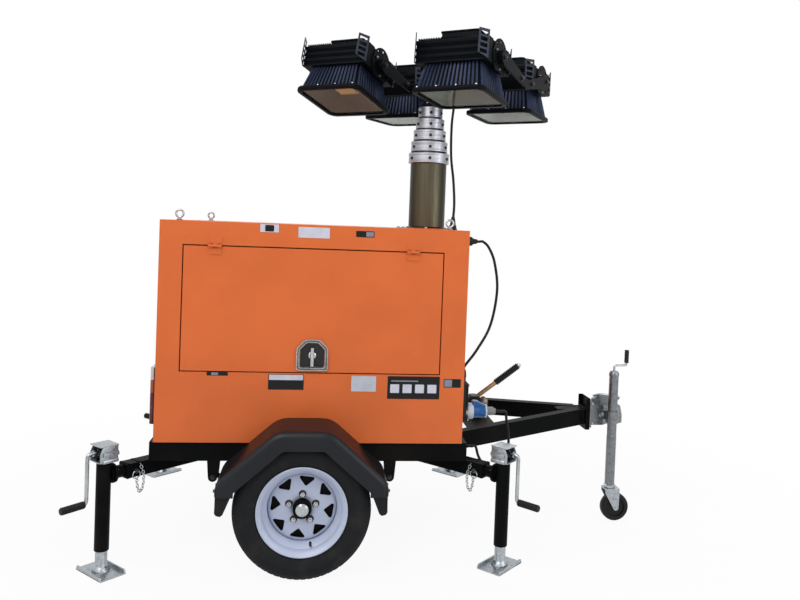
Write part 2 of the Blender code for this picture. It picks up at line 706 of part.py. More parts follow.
def handbrake():
    """Brake lever: bracket, quadrant box, tube and ribbed grip, held at rest."""
    back, base = BRAKE_MEMBER_X, brake_seat() + SEAT

    def block(start, end, half, height):
        return box((back + start, LEVER_Y - half, base), (back + end, LEVER_Y + half, base + height))

    def bar(path, radius, segments):
        ends = [(back + ahead, LEVER_Y, base + above) for ahead, above in path]
        return rod(*ends, radius, segments)

    bracket = block(0.068, 0.100, 0.028, 0.088)
    housing = block(0.002, 0.063, 0.034, 0.100)
    web = block(0.050, 0.090, 0.020, 0.030)
    lever = bar(LEVER_PATH, LEVER_RADIUS, 12)
    return union(bracket, housing, web, lever, bar(LEVER_GRIP_PATH, LEVER_GRIP_RADIUS, 14))


def coupling_head():
    """Ball coupling with its latch, and the clamp that holds the jockey wheel."""
    half = COUPLING_HALF_WIDTH
    back = COUPLING_BACK
    plate = box((back, -half - 0.010, COUPLING_BOTTOM - 0.012), (back + 0.010, half + 0.010, COUPLING_TOP))
    wide = rectangle(half, COUPLING_BOTTOM, COUPLING_TOP - 0.020)
    narrow = rectangle(half - 0.018, COUPLING_BOTTOM + 0.020, COUPLING_TOP - 0.030)
    stations = ((back + 0.008, wide), (JOCKEY_X - 0.020, wide), (COUPLING_BALL_X, narrow))
    body = loft([[(x, y, z) for y, z in section] for x, section in stations])
    cup_low = COUPLING_BOTTOM + 0.008
    cup_top = COUPLING_TOP - 0.024
    cup = shifted(turned([(0, cup_low), (COUPLING_CUP_RADIUS, cup_low),
                          (COUPLING_CUP_RADIUS, cup_low + 0.035),
                          (COUPLING_CUP_RADIUS - 0.010, cup_top - 0.008), (0.018, cup_top), (0, cup_top)],
                         24),
                  COUPLING_BALL_X, 0, 0)
    ball = shifted(turned([(0, cup_low - 0.01), (COUPLING_BALL_RADIUS, cup_low - 0.01),
                           (COUPLING_BALL_RADIUS, cup_low + 0.025),
                           (COUPLING_BALL_RADIUS * 0.7, cup_low + 0.043),
                           (0, cup_low + 0.050)], 20), COUPLING_BALL_X, 0, 0)
    latch_z = COUPLING_TOP - 0.022
    latch = prism([(LATCH_BACK + ahead, latch_z + above) for ahead, above in LATCH_OUTLINE], "Y", -0.014,
                  0.014)
    ring_low, ring_high = JOCKEY_CLAMP_Z - JOCKEY_CLAMP_HEIGHT / 2, JOCKEY_CLAMP_Z + JOCKEY_CLAMP_HEIGHT / 2
    ring = shifted(turned([(JOCKEY_TUBE_RADIUS + SEAT, ring_low), (JOCKEY_TUBE_RADIUS + 0.008, ring_low),
                           (JOCKEY_TUBE_RADIUS + 0.008, ring_high), (JOCKEY_TUBE_RADIUS + SEAT, ring_high)],
                          24),
                   JOCKEY_X, JOCKEY_Y, 0)
    arm = box((JOCKEY_X - 0.034, JOCKEY_Y + JOCKEY_TUBE_RADIUS + 0.004, ring_low + 0.008),
              (JOCKEY_X - 0.006, -half + 0.006, ring_high - 0.008))
    return union(cut(union(plate, body, cup), ball), latch, ring, arm)


def jockey_tube():
    """Jockey wheel stem with its cap and winding handle."""
    stem = turned([(0, JOCKEY_TUBE_BOTTOM), (JOCKEY_TUBE_RADIUS, JOCKEY_TUBE_BOTTOM),
                   (JOCKEY_TUBE_RADIUS, JOCKEY_TUBE_TOP), (JOCKEY_TUBE_RADIUS - 0.006,
                                                           JOCKEY_TUBE_TOP + 0.010),
                   (0, JOCKEY_TUBE_TOP + 0.010)], 24)
    return shifted(stem, JOCKEY_X, JOCKEY_Y, 0)


def jockey_fork():
    """Caster fork: crown under the stem and two cheeks down to the wheel's axle."""
    crown_z = JOCKEY_TUBE_BOTTOM - SEAT
    half = JOCKEY_WHEEL_WIDTH / 2 + 0.004
    crown = box((-0.030, -half - JOCKEY_FORK_SHEET, crown_z - 0.008),
                (0.044, half + JOCKEY_FORK_SHEET, crown_z))
    outline = [(-0.030, crown_z), (-0.030, crown_z - 0.022),
               *arc((JOCKEY_TRAIL, JOCKEY_WHEEL_RADIUS), 0.014, 200, 340, 5), (0.044, crown_z - 0.022),
               (0.044, crown_z)]
    cheeks = [prism(outline, "Y", y, y + JOCKEY_FORK_SHEET) for y in (-half - JOCKEY_FORK_SHEET, half)]
    pin = rod((JOCKEY_TRAIL, -half - JOCKEY_FORK_SHEET - 0.004, JOCKEY_WHEEL_RADIUS),
              (JOCKEY_TRAIL, half + JOCKEY_FORK_SHEET + 0.004, JOCKEY_WHEEL_RADIUS), 0.006, 12)
    return shifted(union(crown, *cheeks, pin), JOCKEY_X, JOCKEY_Y, 0)


def jockey_wheel():
    """Small solid wheel on the fork's pin."""
    half = JOCKEY_WHEEL_WIDTH / 2
    bore = 0.006 + SEAT
    profile = [(bore, -half - 0.0035), (0.014, -half - 0.0035), (0.018, -half + 0.007),
               (0.046, -half + 0.007),
               (0.050, -half), (JOCKEY_WHEEL_RADIUS - 0.006, -half), (JOCKEY_WHEEL_RADIUS, -half + 0.009)]
    mirrored = [(radius, -height) for radius, height in reversed(profile)]
    wheel = turned(profile + mirrored, 16)
    turn = Matrix.Rotation(math.radians(90), 4, "X")
    return moved(wheel, Matrix.Translation((JOCKEY_X + JOCKEY_TRAIL, JOCKEY_Y, JOCKEY_WHEEL_RADIUS)) @ turn)


def wheel_frame(side):
    """A matrix from a wheel's own frame, +Z away from the trailer, to the trailer's."""
    turn = Matrix.Rotation(math.radians(-90 * side), 4, "X")
    return Matrix.Translation((0, side * WHEEL_CENTRE_Y, TYRE_RADIUS)) @ turn


def tyre(side):
    """Road tyre with a rounded shoulder and a bead that seats on the rim."""
    half = TYRE_WIDTH / 2
    wall = TYRE_RADIUS - TYRE_BEAD_RADIUS
    profile = [(TYRE_BEAD_RADIUS, half - 0.029), (RIM_LIP_RADIUS + 0.002, half - 0.0195),
               (TYRE_BEAD_RADIUS + 0.33 * wall, half - 0.006), (TYRE_BEAD_RADIUS + 0.58 * wall, half),
               (TYRE_BEAD_RADIUS + 0.79 * wall, half - 0.006), (TYRE_RADIUS - 0.008, half - 0.018),
               (TYRE_RADIUS, half - 0.035)]
    mirrored = [(radius, -height) for radius, height in reversed(profile)]
    return moved(turned(profile + mirrored, WHEEL_FACETS), wheel_frame(side))


def rim(side):
    """Pressed wheel with eight windows, brake drum and hub."""
    half = TYRE_WIDTH / 2
    seat = TYRE_BEAD_RADIUS - SEAT
    wall = RIM_WALL
    outer = [(RIM_LIP_RADIUS, 0.074), (RIM_LIP_RADIUS, 0.066), (seat, 0.057), (RIM_WELL_RADIUS, 0.022)]
    outer += [(radius, -height) for radius, height in reversed(outer)]
    inner = [(seat - wall, -0.0735), (RIM_WELL_RADIUS - wall, -0.022), (RIM_WELL_RADIUS - wall, 0.022),
             (seat - wall, 0.054), (RIM_LIP_RADIUS - 1.6 * wall, 0.0735)]
    barrel = turned(outer + inner, WHEEL_FACETS)
    face = half - RIM_DISC_DEPTH
    back = face - RIM_DISC_THICKNESS
    disc = turned([(0, face - 0.004), (0.042, face - 0.004), (0.052, face + 0.003), (0.080, face + 0.003),
                   (RIM_WINDOW_OUTER + 0.004, face - 0.006), (RIM_WELL_RADIUS - 0.002, face - 0.016),
                   (RIM_WELL_RADIUS - 0.002, face - 0.026), (RIM_WINDOW_OUTER, back - 0.006),
                   (HUB_RADIUS, back),
                   (0, back)], WHEEL_FACETS)
    windows = []
    for step in range(RIM_WINDOWS):
        angle = 360 * step / RIM_WINDOWS
        points = [*arc((RIM_WINDOW_INNER + 0.006, 0), 0.006, 250, 110, 1),
                  *arc((RIM_WINDOW_OUTER - 0.010, 0.018), 0.008, 110, 10, 1),
                  *arc((RIM_WINDOW_OUTER - 0.010, -0.018), 0.008, -10, -110, 1)]
        window = prism(points, "Z", back - 0.030, face + 0.030)
        windows.append(moved(window, Matrix.Rotation(math.radians(angle), 4, "Z")))
    disc = cut(disc, *windows)
    drum_back = back - DRUM_DEPTH
    bore = SPINDLE_RADIUS + SEAT
    hub_face = face + HUB_LENGTH
    drum = turned([(bore, drum_back), (DRUM_RADIUS, drum_back),
                   (DRUM_RADIUS, back - 0.020), (0.080, back + 0.001), (HUB_RADIUS, back + 0.001),
                   (HUB_RADIUS, hub_face - 0.010), (HUB_RADIUS - 0.009, hub_face), (0, hub_face),
                   (0, back + SEAT),
                   (bore, back + SEAT)], HUB_FACETS)
    return moved(union(barrel, disc, drum), wheel_frame(side))


def guard_path():
    """The mudguard's side outline, front to back, with the inward normal at each point."""
    corners = [(GUARD_HALF_LENGTH, GUARD_END_Z), (GUARD_HALF_LENGTH, GUARD_CORNER_Z),
               (GUARD_HALF_FLAT, GUARD_TOP),
               (-GUARD_HALF_FLAT, GUARD_TOP), (-GUARD_HALF_LENGTH, GUARD_CORNER_Z),
               (-GUARD_HALF_LENGTH, GUARD_END_Z)]
    points = [(Vector(corners[0]), Vector((-1, 0)))]
    for before, corner, after in zip(corners, corners[1:], corners[2:]):
        here = Vector(corner)
        arriving, leaving = (here - Vector(before)).normalized(), (Vector(after) - here).normalized()
        turn = math.acos(max(-1.0, min(1.0, arriving.dot(leaving))))
        radius = GUARD_BEND if abs(corner[0]) < GUARD_HALF_LENGTH else GUARD_SKIRT * 1.08
        tangent = radius * math.tan(turn / 2)
        first = here - arriving * tangent
        centre = first + Vector((-arriving.y, arriving.x)) * radius
        steps = 3
        for step in range(steps + 1):
            out = (first - centre).normalized()
            angle = turn * step / steps
            out = Vector((out.x * math.cos(angle) - out.y * math.sin(angle),
                          out.x * math.sin(angle) + out.y * math.cos(angle)))
            points.append((centre + out * radius, -out))
    points.append((Vector(corners[-1]), Vector((1, 0))))
    return points


def guard_section(inner_y):
    """The mudguard's cross section: points of (distance from the box, depth below its top)."""
    edge, sheet, outer = GUARD_EDGE_RADIUS, GUARD_SHEET, GUARD_OUTER_Y
    bend = [(outer - edge + edge * math.sin(math.radians(a)), edge - edge * math.cos(math.radians(a)))
            for a in (0, 45, 90)]
    inner_bend = [(outer - edge + (edge - sheet) * math.sin(math.radians(a)),
                   edge - (edge - sheet) * math.cos(math.radians(a))) for a in (90, 45, 0)]
    return [(inner_y, 0), *bend, (outer, GUARD_SKIRT), (outer - sheet, GUARD_SKIRT), *inner_bend,
            (inner_y, sheet)]


def mudguard(side):
    """Pressed mudguard with a rolled outer skirt, a back plate and rubber flaps."""
    inner_y = CHASSIS_HALF_WIDTH + SEAT
    section = guard_section(inner_y)
    rings = []
    for point, inward in guard_path():
        rings.append([(point.x + inward.x * depth, side * y, point.y + inward.y * depth) for y,
                      depth in section])
    shell = loft(rings)
    plate_outline = [(p.x + n.x * GUARD_SHEET / 2, p.y + n.y * GUARD_SHEET / 2) for p, n in guard_path()]
    above = [(x, z) for x, z in plate_outline if z > PANEL_BOTTOM]
    foot = PANEL_BOTTOM
    slope = (GUARD_TOP - GUARD_CORNER_Z) / (GUARD_HALF_LENGTH - GUARD_HALF_FLAT)
    reach = GUARD_HALF_FLAT + (GUARD_TOP - foot) / slope - GUARD_SHEET
    back = prism([(reach, foot), *above, (-reach, foot)], "Y", side * inner_y,
                 side * (inner_y + GUARD_SHEET))
    flaps = []
    low, high = sorted((side * (inner_y + 0.030), side * (GUARD_OUTER_Y - 0.006)))
    for end in (-1, 1):
        outside = end * (GUARD_HALF_LENGTH - GUARD_SHEET + 0.001)
        first, last = sorted((outside, outside - end * FLAP_THICKNESS))
        flaps.append(box((first, low, FLAP_BOTTOM), (last, high, GUARD_END_Z + FLAP_LAP)))
    return union(shell, back, *flaps)


def arch_outline():
    """The notch in a side panel that the mudguard fills."""
    grown = [(p.x - n.x * SEAT, p.y - n.y * SEAT) for p, n in guard_path()]
    above = [point for point in grown if point[1] > PANEL_BOTTOM]
    slope = (GUARD_TOP - GUARD_CORNER_Z) / (GUARD_HALF_LENGTH - GUARD_HALF_FLAT)
    reach = GUARD_HALF_FLAT + (GUARD_TOP + 2 * SEAT - PANEL_BOTTOM + 0.01) / slope
    return [(reach, PANEL_BOTTOM - 0.01), *above, (-reach, PANEL_BOTTOM - 0.01)]


def hinge_leaf(x, side, start, end, knuckles):
    """A flat leaf on the outer face with its knuckles round the hinge axis."""
    face = BOX_HALF_WIDTH
    low, high = sorted((side * (face - 0.001), side * (face + HINGE_LEAF)))
    pieces = [box((x - HINGE_WIDTH / 2, low, min(start, end)), (x + HINGE_WIDTH / 2, high, max(start, end)))]
    for first, last in knuckles:
        web_low, web_high = sorted((side * face, side * HINGE_Y))
        near = start if abs(start - HINGE_Z) < abs(end - HINGE_Z) else end
        pieces.append(box((x + first, web_low, min(near, HINGE_Z)),
                          (x + last, web_high, max(near, HINGE_Z))))
        pieces.append(rod((x + first, side * HINGE_Y, HINGE_Z), (x + last, side * HINGE_Y, HINGE_Z),
                          HINGE_RADIUS, 12))
    return union(*pieces)


def side_panel(side):
    """Side wall with the door opening, the wheel notch and the fixed hinge leaves."""
    low, high = sorted((side * BOX_HALF_WIDTH, side * (BOX_HALF_WIDTH - WALL)))
    wall = box((BOX_REAR, low, PANEL_BOTTOM), (BOX_FRONT, high, BOX_TOP))
    opening = box((DOOR_REAR - DOOR_GAP, low - 0.1, DOOR_BOTTOM - DOOR_GAP),
                  (DOOR_FRONT + DOOR_GAP, high + 0.1, DOOR_TOP + DOOR_GAP))
    notch = prism(arch_outline(), "Y", low - 0.1, high + 0.1)
    half = HINGE_WIDTH / 6
    leaves = [hinge_leaf(x, side, HINGE_Z + HINGE_RADIUS + 0.003, HINGE_Z + HINGE_RADIUS + HINGE_LEAF_HEIGHT,
                         [(-half + PIN_PLAY, half - PIN_PLAY)]) for x in HINGE_CENTRES]
    return union(cut(wall, opening, notch), *leaves)


def door(side):
    """Lift-up side door with hinge leaves and the latch plate with its handle."""
    low, high = sorted((side * BOX_HALF_WIDTH, side * (BOX_HALF_WIDTH - WALL)))
    leaf = box((DOOR_REAR, low, DOOR_BOTTOM), (DOOR_FRONT, high, DOOR_TOP))
    half, third = HINGE_WIDTH / 2, HINGE_WIDTH / 6
    hinges = [hinge_leaf(x, side, HINGE_Z - HINGE_RADIUS - 0.003, HINGE_Z - HINGE_RADIUS - HINGE_LEAF_HEIGHT,
                         [(-half, -third), (third, half)]) for x in HINGE_CENTRES]
    bottom = DOOR_BOTTOM + 0.010
    shoulder = bottom + LATCH_HEIGHT * 0.72
    half_latch = LATCH_WIDTH / 2
    top, half_top = bottom + LATCH_HEIGHT, half_latch * 0.45
    outline = [(LATCH_X - half_latch, bottom), (LATCH_X + half_latch, bottom),
               (LATCH_X + half_latch, shoulder),
               (LATCH_X + half_top, top), (LATCH_X - half_top, top), (LATCH_X - half_latch, shoulder)]
    proud = side * (BOX_HALF_WIDTH + LATCH_PROUD)
    sunk = side * (BOX_HALF_WIDTH - LATCH_RECESS)
    middle = (LATCH_X, bottom + LATCH_HEIGHT * 0.47)
    plate = prism(outline, "Y", side * (BOX_HALF_WIDTH - 0.001), proud)
    recess = [(middle[0] + (x - middle[0]) * 0.80, middle[1] + (z - middle[1]) * 0.80) for x, z in outline]
    hollow = prism(recess, "Y", sunk, side * (BOX_HALF_WIDTH + LATCH_PROUD + 0.01))
    grip_y = side * (BOX_HALF_WIDTH + LATCH_PROUD - 0.004)
    stem = rod((middle[0], sunk - side * 0.001, middle[1]), (middle[0], grip_y, middle[1]), 0.011, 12)
    bar_y = grip_y - side * 0.004
    grip = rod((middle[0], bar_y, middle[1] - 0.040), (middle[0], bar_y, middle[1] + 0.030), 0.008, 10)
    return union(cut(union(leaf, plate), hollow), stem, grip, *hinges)


def front_panel():
    """Front wall with the cable socket near its top and the terminal strip near its bottom."""
    inside = BOX_FRONT - 0.004
    wall = box((BOX_FRONT - WALL, -INNER_HALF_WIDTH, PANEL_BOTTOM),
               (BOX_FRONT, INNER_HALF_WIDTH, BOX_TOP - WALL - SEAT))
    socket = rod((inside, SOCKET_Y, SOCKET_Z), (BOX_FRONT + SOCKET_LENGTH, SOCKET_Y, SOCKET_Z),
                 SOCKET_RADIUS)
    half = TERMINAL_WIDTH / 2
    strip = box((inside, FITTING_Y - half, TERMINAL_BOTTOM), (BOX_FRONT + TERMINAL_DEPTH, FITTING_Y + half,
                                                              TERMINAL_TOP))
    x = BOX_FRONT + TERMINAL_DEPTH / 2
    gland = rod((x, FITTING_Y, TERMINAL_TOP - 0.003), (x, FITTING_Y, TERMINAL_TOP + GLAND_LENGTH),
                GLAND_RADIUS - 0.003,
                12)
    return union(wall, socket, strip, gland)


def louvre_slat(z):
    """One sloping slat that runs across the rear opening."""
    half = LOUVRE_LENGTH / 2
    middle = BOX_REAR + WALL / 2
    slope = WALL / 2 - 0.001
    outline = [(middle - slope, z - half), (middle + slope, z + half - LOUVRE_SHEET),
               (middle + slope, z + half), (middle - slope, z - half + LOUVRE_SHEET)]
    return prism(outline, "Y", -LOUVRE_HALF_WIDTH - 0.004, LOUVRE_HALF_WIDTH + 0.004)


def rear_panel():
    """Rear wall with a louvred air outlet."""
    inside = BOX_REAR + WALL
    wall = box((BOX_REAR, -INNER_HALF_WIDTH, PANEL_BOTTOM), (inside, INNER_HALF_WIDTH,
                                                             BOX_TOP - WALL - SEAT))
    window = box((BOX_REAR - 0.1, -LOUVRE_HALF_WIDTH, LOUVRE_BOTTOM),
                 (inside + 0.1, LOUVRE_HALF_WIDTH, LOUVRE_TOP))
    pitch = (LOUVRE_TOP - LOUVRE_BOTTOM) / LOUVRE_COUNT
    slats = [louvre_slat(LOUVRE_BOTTOM + pitch * (step + 0.5)) for step in range(LOUVRE_COUNT)]
    return union(cut(wall, window), *slats)


def roof_panel():
    """Roof between the side walls with the hole for the mast."""
    low = BOX_TOP - WALL
    roof = box((BOX_REAR, -INNER_HALF_WIDTH, low), (BOX_FRONT, INNER_HALF_WIDTH, BOX_TOP))
    hole = turned([(0, low - 0.1), (MAST_BASE_RADIUS + SEAT, low - 0.1),
                   (MAST_BASE_RADIUS + SEAT, BOX_TOP + 0.1),
                   (0, BOX_TOP + 0.1)], MAST_FACETS)
    return cut(roof, shifted(hole, MAST_X, 0, 0))


def lifting_eye(x, y):
    """Ring that stands along the trailer on a short shank and a round foot on the roof."""
    foot = BOX_TOP + SEAT
    wire = [(EYEBOLT_RING + EYEBOLT_WIRE * math.cos(math.tau * step / 6),
             EYEBOLT_WIRE * math.sin(math.tau * step / 6))
            for step in range(6)]
    ring = moved(turned(wire, 14), Matrix.Rotation(math.radians(90), 4, "X"))
    shank = rod((x, y, foot), (x, y, BOX_TOP + EYEBOLT_HEIGHT - EYEBOLT_RING), EYEBOLT_WIRE, 8)
    base = rod((x, y, foot), (x, y, foot + EYEBOLT_FOOT), EYEBOLT_FOOT_RADIUS, 10)
    return union(shifted(ring, x, y, BOX_TOP + EYEBOLT_HEIGHT), shank, base)


def power_inlet():
    """Round industrial inlet with a plugged-in connector, cap lever and cable gland."""
    start = BOX_FRONT + TERMINAL_DEPTH + SEAT
    end = start + INLET_LENGTH
    profile = [(0, 0), (INLET_FLANGE_RADIUS - 0.006, 0), (INLET_FLANGE_RADIUS - 0.002, 0.012),
               (INLET_FLANGE_RADIUS, 0.034),
               (INLET_BODY_RADIUS, 0.036), (INLET_BODY_RADIUS, 0.090), (0.019, 0.104), (0.019, 0.124),
               (0.012, INLET_LENGTH), (0, INLET_LENGTH)]
    body = moved(turned(profile, 24), facing((start, FITTING_Y, INLET_Z), (end, FITTING_Y, INLET_Z)))
    lever_top = INLET_Z + INLET_BODY_RADIUS
    outline = [(start + 0.030, lever_top - 0.010), (start + 0.094, lever_top - 0.010),
               (start + 0.094, lever_top + 0.001),
               (start + 0.060, lever_top + 0.018), (start + 0.028, lever_top + 0.016)]
    lever = prism(outline, "Y", FITTING_Y - 0.018, FITTING_Y + 0.018)
    return union(body, lever)


def tail_lamp(side):
    """Upright rear lamp cluster."""
    back = BOX_REAR - SEAT
    half, corner = TAIL_LAMP_WIDTH / 2, TAIL_LAMP_CORNER
    face = back - TAIL_LAMP_DEPTH
    plan = [(back, -half), (back, half), *arc((face + corner, half - corner), corner, 90, 180, 3),
            *arc((face + corner, corner - half), corner, 180, 270, 3)]
    return shifted(prism(plan, "Z", TAIL_LAMP_BOTTOM, TAIL_LAMP_TOP), 0, side * TAIL_LAMP_Y, 0)


def mast_radius(index):
    """Outer radius of a mast section, the base being number 0."""
    return MAST_BASE_RADIUS - index * MAST_STEP


def mast_section(index):
    """One tube of the mast with the collar that guides the next one."""
    radius = mast_radius(index)
    bore = radius - MAST_TUBE_WALL
    bottom = FLOOR_TOP + SEAT + MAST_FOOT_RISE * index
    if index == MAST_SECTIONS - 1:
        tube = turned([(bore, bottom), (radius, bottom), (radius, HEAD_Z), (bore, HEAD_Z)], MAST_FACETS)
        return shifted(tube, MAST_X, 0, 0)
    collar_low = COLLAR_FIRST_Z + COLLAR_PITCH * index
    collar_high = collar_low + COLLAR_HEIGHT
    proud = radius + COLLAR_PROUD
    guide = mast_radius(index + 1) + SEAT
    profile = [(bore, bottom), (radius, bottom), (radius, collar_low), (proud, collar_low),
               (proud, collar_high - 0.003),
               (proud - 0.003, collar_high), (guide, collar_high), (guide, collar_low - 0.004),
               (bore, collar_low - 0.012)]
    section = turned(profile, MAST_FACETS)
    if index:
        return shifted(section, MAST_X, 0, 0)
    top = bottom + MAST_FLANGE_THICKNESS
    foot = turned([(radius - 0.002, bottom), (MAST_FLANGE_RADIUS, bottom), (MAST_FLANGE_RADIUS, top),
                   (radius - 0.002, top)], MAST_FACETS)
    trimmed = cut(foot, box((BOX_FRONT - WALL - SEAT - MAST_X, -1, 0), (1, 1, 1)))
    return shifted(union(section, trimmed), MAST_X, 0, 0)


def head_frame():
    """A matrix from the lamp head's own frame, +X along the crossbar, to the trailer's."""
    return Matrix.Translation((MAST_X, 0, 0)) @ Matrix.Rotation(math.radians(HEAD_YAW), 4, "Z")


def lamp_frame():
    """Post, crossbar and the yoke arms that carry the floodlights."""
    base = HEAD_Z + SEAT
    flange = turned([(0, base), (HEAD_FLANGE_RADIUS, base), (HEAD_FLANGE_RADIUS,
                                                             base + HEAD_FLANGE_THICKNESS),
                     (HEAD_POST_RADIUS, base + HEAD_FLANGE_THICKNESS),
                     (HEAD_POST_RADIUS, CROSSBAR_BOTTOM + 0.02),
                     (0, CROSSBAR_BOTTOM + 0.02)], 20)
    half = CROSSBAR_SECTION / 2
    top = CROSSBAR_BOTTOM + CROSSBAR_SECTION
    reach = LAMP_OFFSET + YOKE_INNER + YOKE_SHEET
    bar = box((-reach, -half, CROSSBAR_BOTTOM), (reach, half, top))
    arms = []
    for across in (-1, 1):
        boss = (across * LAMP_OFFSET, LAMP_AXIS_Z)
        first, last = (-75, 75) if across > 0 else (255, 105)
        root_y = across * (half - 0.010)
        outline = [(root_y, CROSSBAR_BOTTOM + 0.004), *arc(boss, YOKE_BOSS_RADIUS, first, last, 6),
                   (root_y, top - 0.004)]
        for along in (-1, 1):
            for start in (YOKE_INNER, -YOKE_INNER - YOKE_SHEET):
                x = along * LAMP_OFFSET + start
                arms.append(prism(outline, "X", x, x + YOKE_SHEET))
    gland = rod((CABLE_DROP_OFFSET, 0, CROSSBAR_BOTTOM + 0.002),
                (CABLE_DROP_OFFSET, 0, CROSSBAR_BOTTOM - GLAND_LENGTH),
                GLAND_RADIUS, 12)
    return moved(union(flange, bar, *arms, gland), head_frame())


def lamp_matrix(along, across, tilt):
    """A matrix from a floodlight's own frame, tilt axis along X and outer edge at -Y, to the trailer's."""
    matrix = head_frame() @ Matrix.Translation((along * LAMP_OFFSET, across * LAMP_OFFSET, LAMP_AXIS_Z))
    if across > 0:
        matrix = matrix @ Matrix.Rotation(math.radians(180), 4, "Z")
    return matrix @ Matrix.Rotation(math.radians(-tilt), 4, "X")


def lamp_housing():
    """Floodlight body with its fin pack, driver box and trunnions, in its own frame."""
    rim_low = -LAMP_RIM_DROP
    rim_high = rim_low + LAMP_RIM_THICKNESS
    rim_flange = prism(rounded(LAMP_RIM_LENGTH, LAMP_RIM_WIDTH, LAMP_RIM_CORNER), "Z", rim_low, rim_high)
    inset = 2 * (LAMP_SKIRT_INSET + LAMP_RIB_DEPTH)
    foot = rounded(LAMP_RIM_LENGTH - inset, LAMP_RIM_WIDTH - inset, LAMP_RIM_CORNER / 2, 1)
    crown = rounded(LAMP_SKIRT_TOP_LENGTH, LAMP_SKIRT_TOP_WIDTH, LAMP_RIM_CORNER / 2, 1)
    skirt = loft([[(x, y, rim_high - 0.002) for x, y in foot],
                  [(x, y, LAMP_SINK_BOTTOM + 0.002) for x, y in crown]])
    half, half_width = LAMP_SINK_LENGTH / 2, LAMP_SINK_WIDTH / 2
    sink = box((-half, -half_width, LAMP_SINK_BOTTOM), (half, half_width, LAMP_SINK_TOP))
    grooves = []
    for side in (-1, 1):
        for z in LAMP_GROOVES:
            y = side * half_width
            grooves.append(box((-1, y - LAMP_GROOVE / 2, z - LAMP_GROOVE / 2),
                               (1, y + LAMP_GROOVE / 2, z + LAMP_GROOVE / 2)))
    margin = LAMP_FIN_MARGIN
    fins = box((-half + margin, -half_width + margin, LAMP_SINK_TOP - 0.002),
               (half - margin, half_width - margin, LAMP_SINK_TOP + LAMP_FIN_HEIGHT))
    driver = box((-LAMP_DRIVER_LENGTH / 2, -LAMP_DRIVER_WIDTH / 2, LAMP_SINK_TOP - 0.001),
                 (LAMP_DRIVER_LENGTH / 2, LAMP_DRIVER_WIDTH / 2, LAMP_DRIVER_TOP))
    trunnions = [rod((side * (LAMP_SINK_LENGTH / 2 - 0.002), 0, 0), (side * (YOKE_INNER - SEAT), 0, 0),
                     LAMP_TRUNNION_RADIUS, 14) for side in (-1, 1)]
    body = union(rim_flange, skirt, cut(sink, *grooves), fins, driver, *trunnions)
    glass_top = rim_low + LAMP_GLASS_RISE + LAMP_GLASS
    inset += 2 * LAMP_WALL
    recess = prism(glass_plan(0), "Z", rim_low - 0.01, glass_top + SEAT)
    low_ring = rounded(LAMP_RIM_LENGTH - inset, LAMP_RIM_WIDTH - inset, 0.024, 1)
    top_inset = 2 * (LAMP_WALL + 0.030)
    top_ring = rounded(LAMP_SKIRT_TOP_LENGTH - top_inset, LAMP_SKIRT_TOP_WIDTH - top_inset, 0.014, 1)
    cavity = loft([[(x, y, glass_top - 0.001) for x, y in low_ring],
                   [(x, y, LAMP_SINK_BOTTOM - 0.010) for x, y in top_ring]])
    return cut(body, recess, cavity)


def glass_plan(play):
    """Outline of the glass and its recess, drawn in by the play between them."""
    length, width = LAMP_RIM_LENGTH - 2 * LAMP_RIM_FACE, LAMP_RIM_WIDTH - 2 * LAMP_RIM_FACE
    return rounded(length - 2 * play, width - 2 * play, LAMP_RIM_CORNER - LAMP_RIM_FACE + 0.002)


def lamp_glass():
    """Toughened glass pane that lies in the rim's recess, in the floodlight's own frame."""
    low = -LAMP_RIM_DROP + LAMP_GLASS_RISE
    return prism(glass_plan(SEAT), "Z", low, low + LAMP_GLASS)


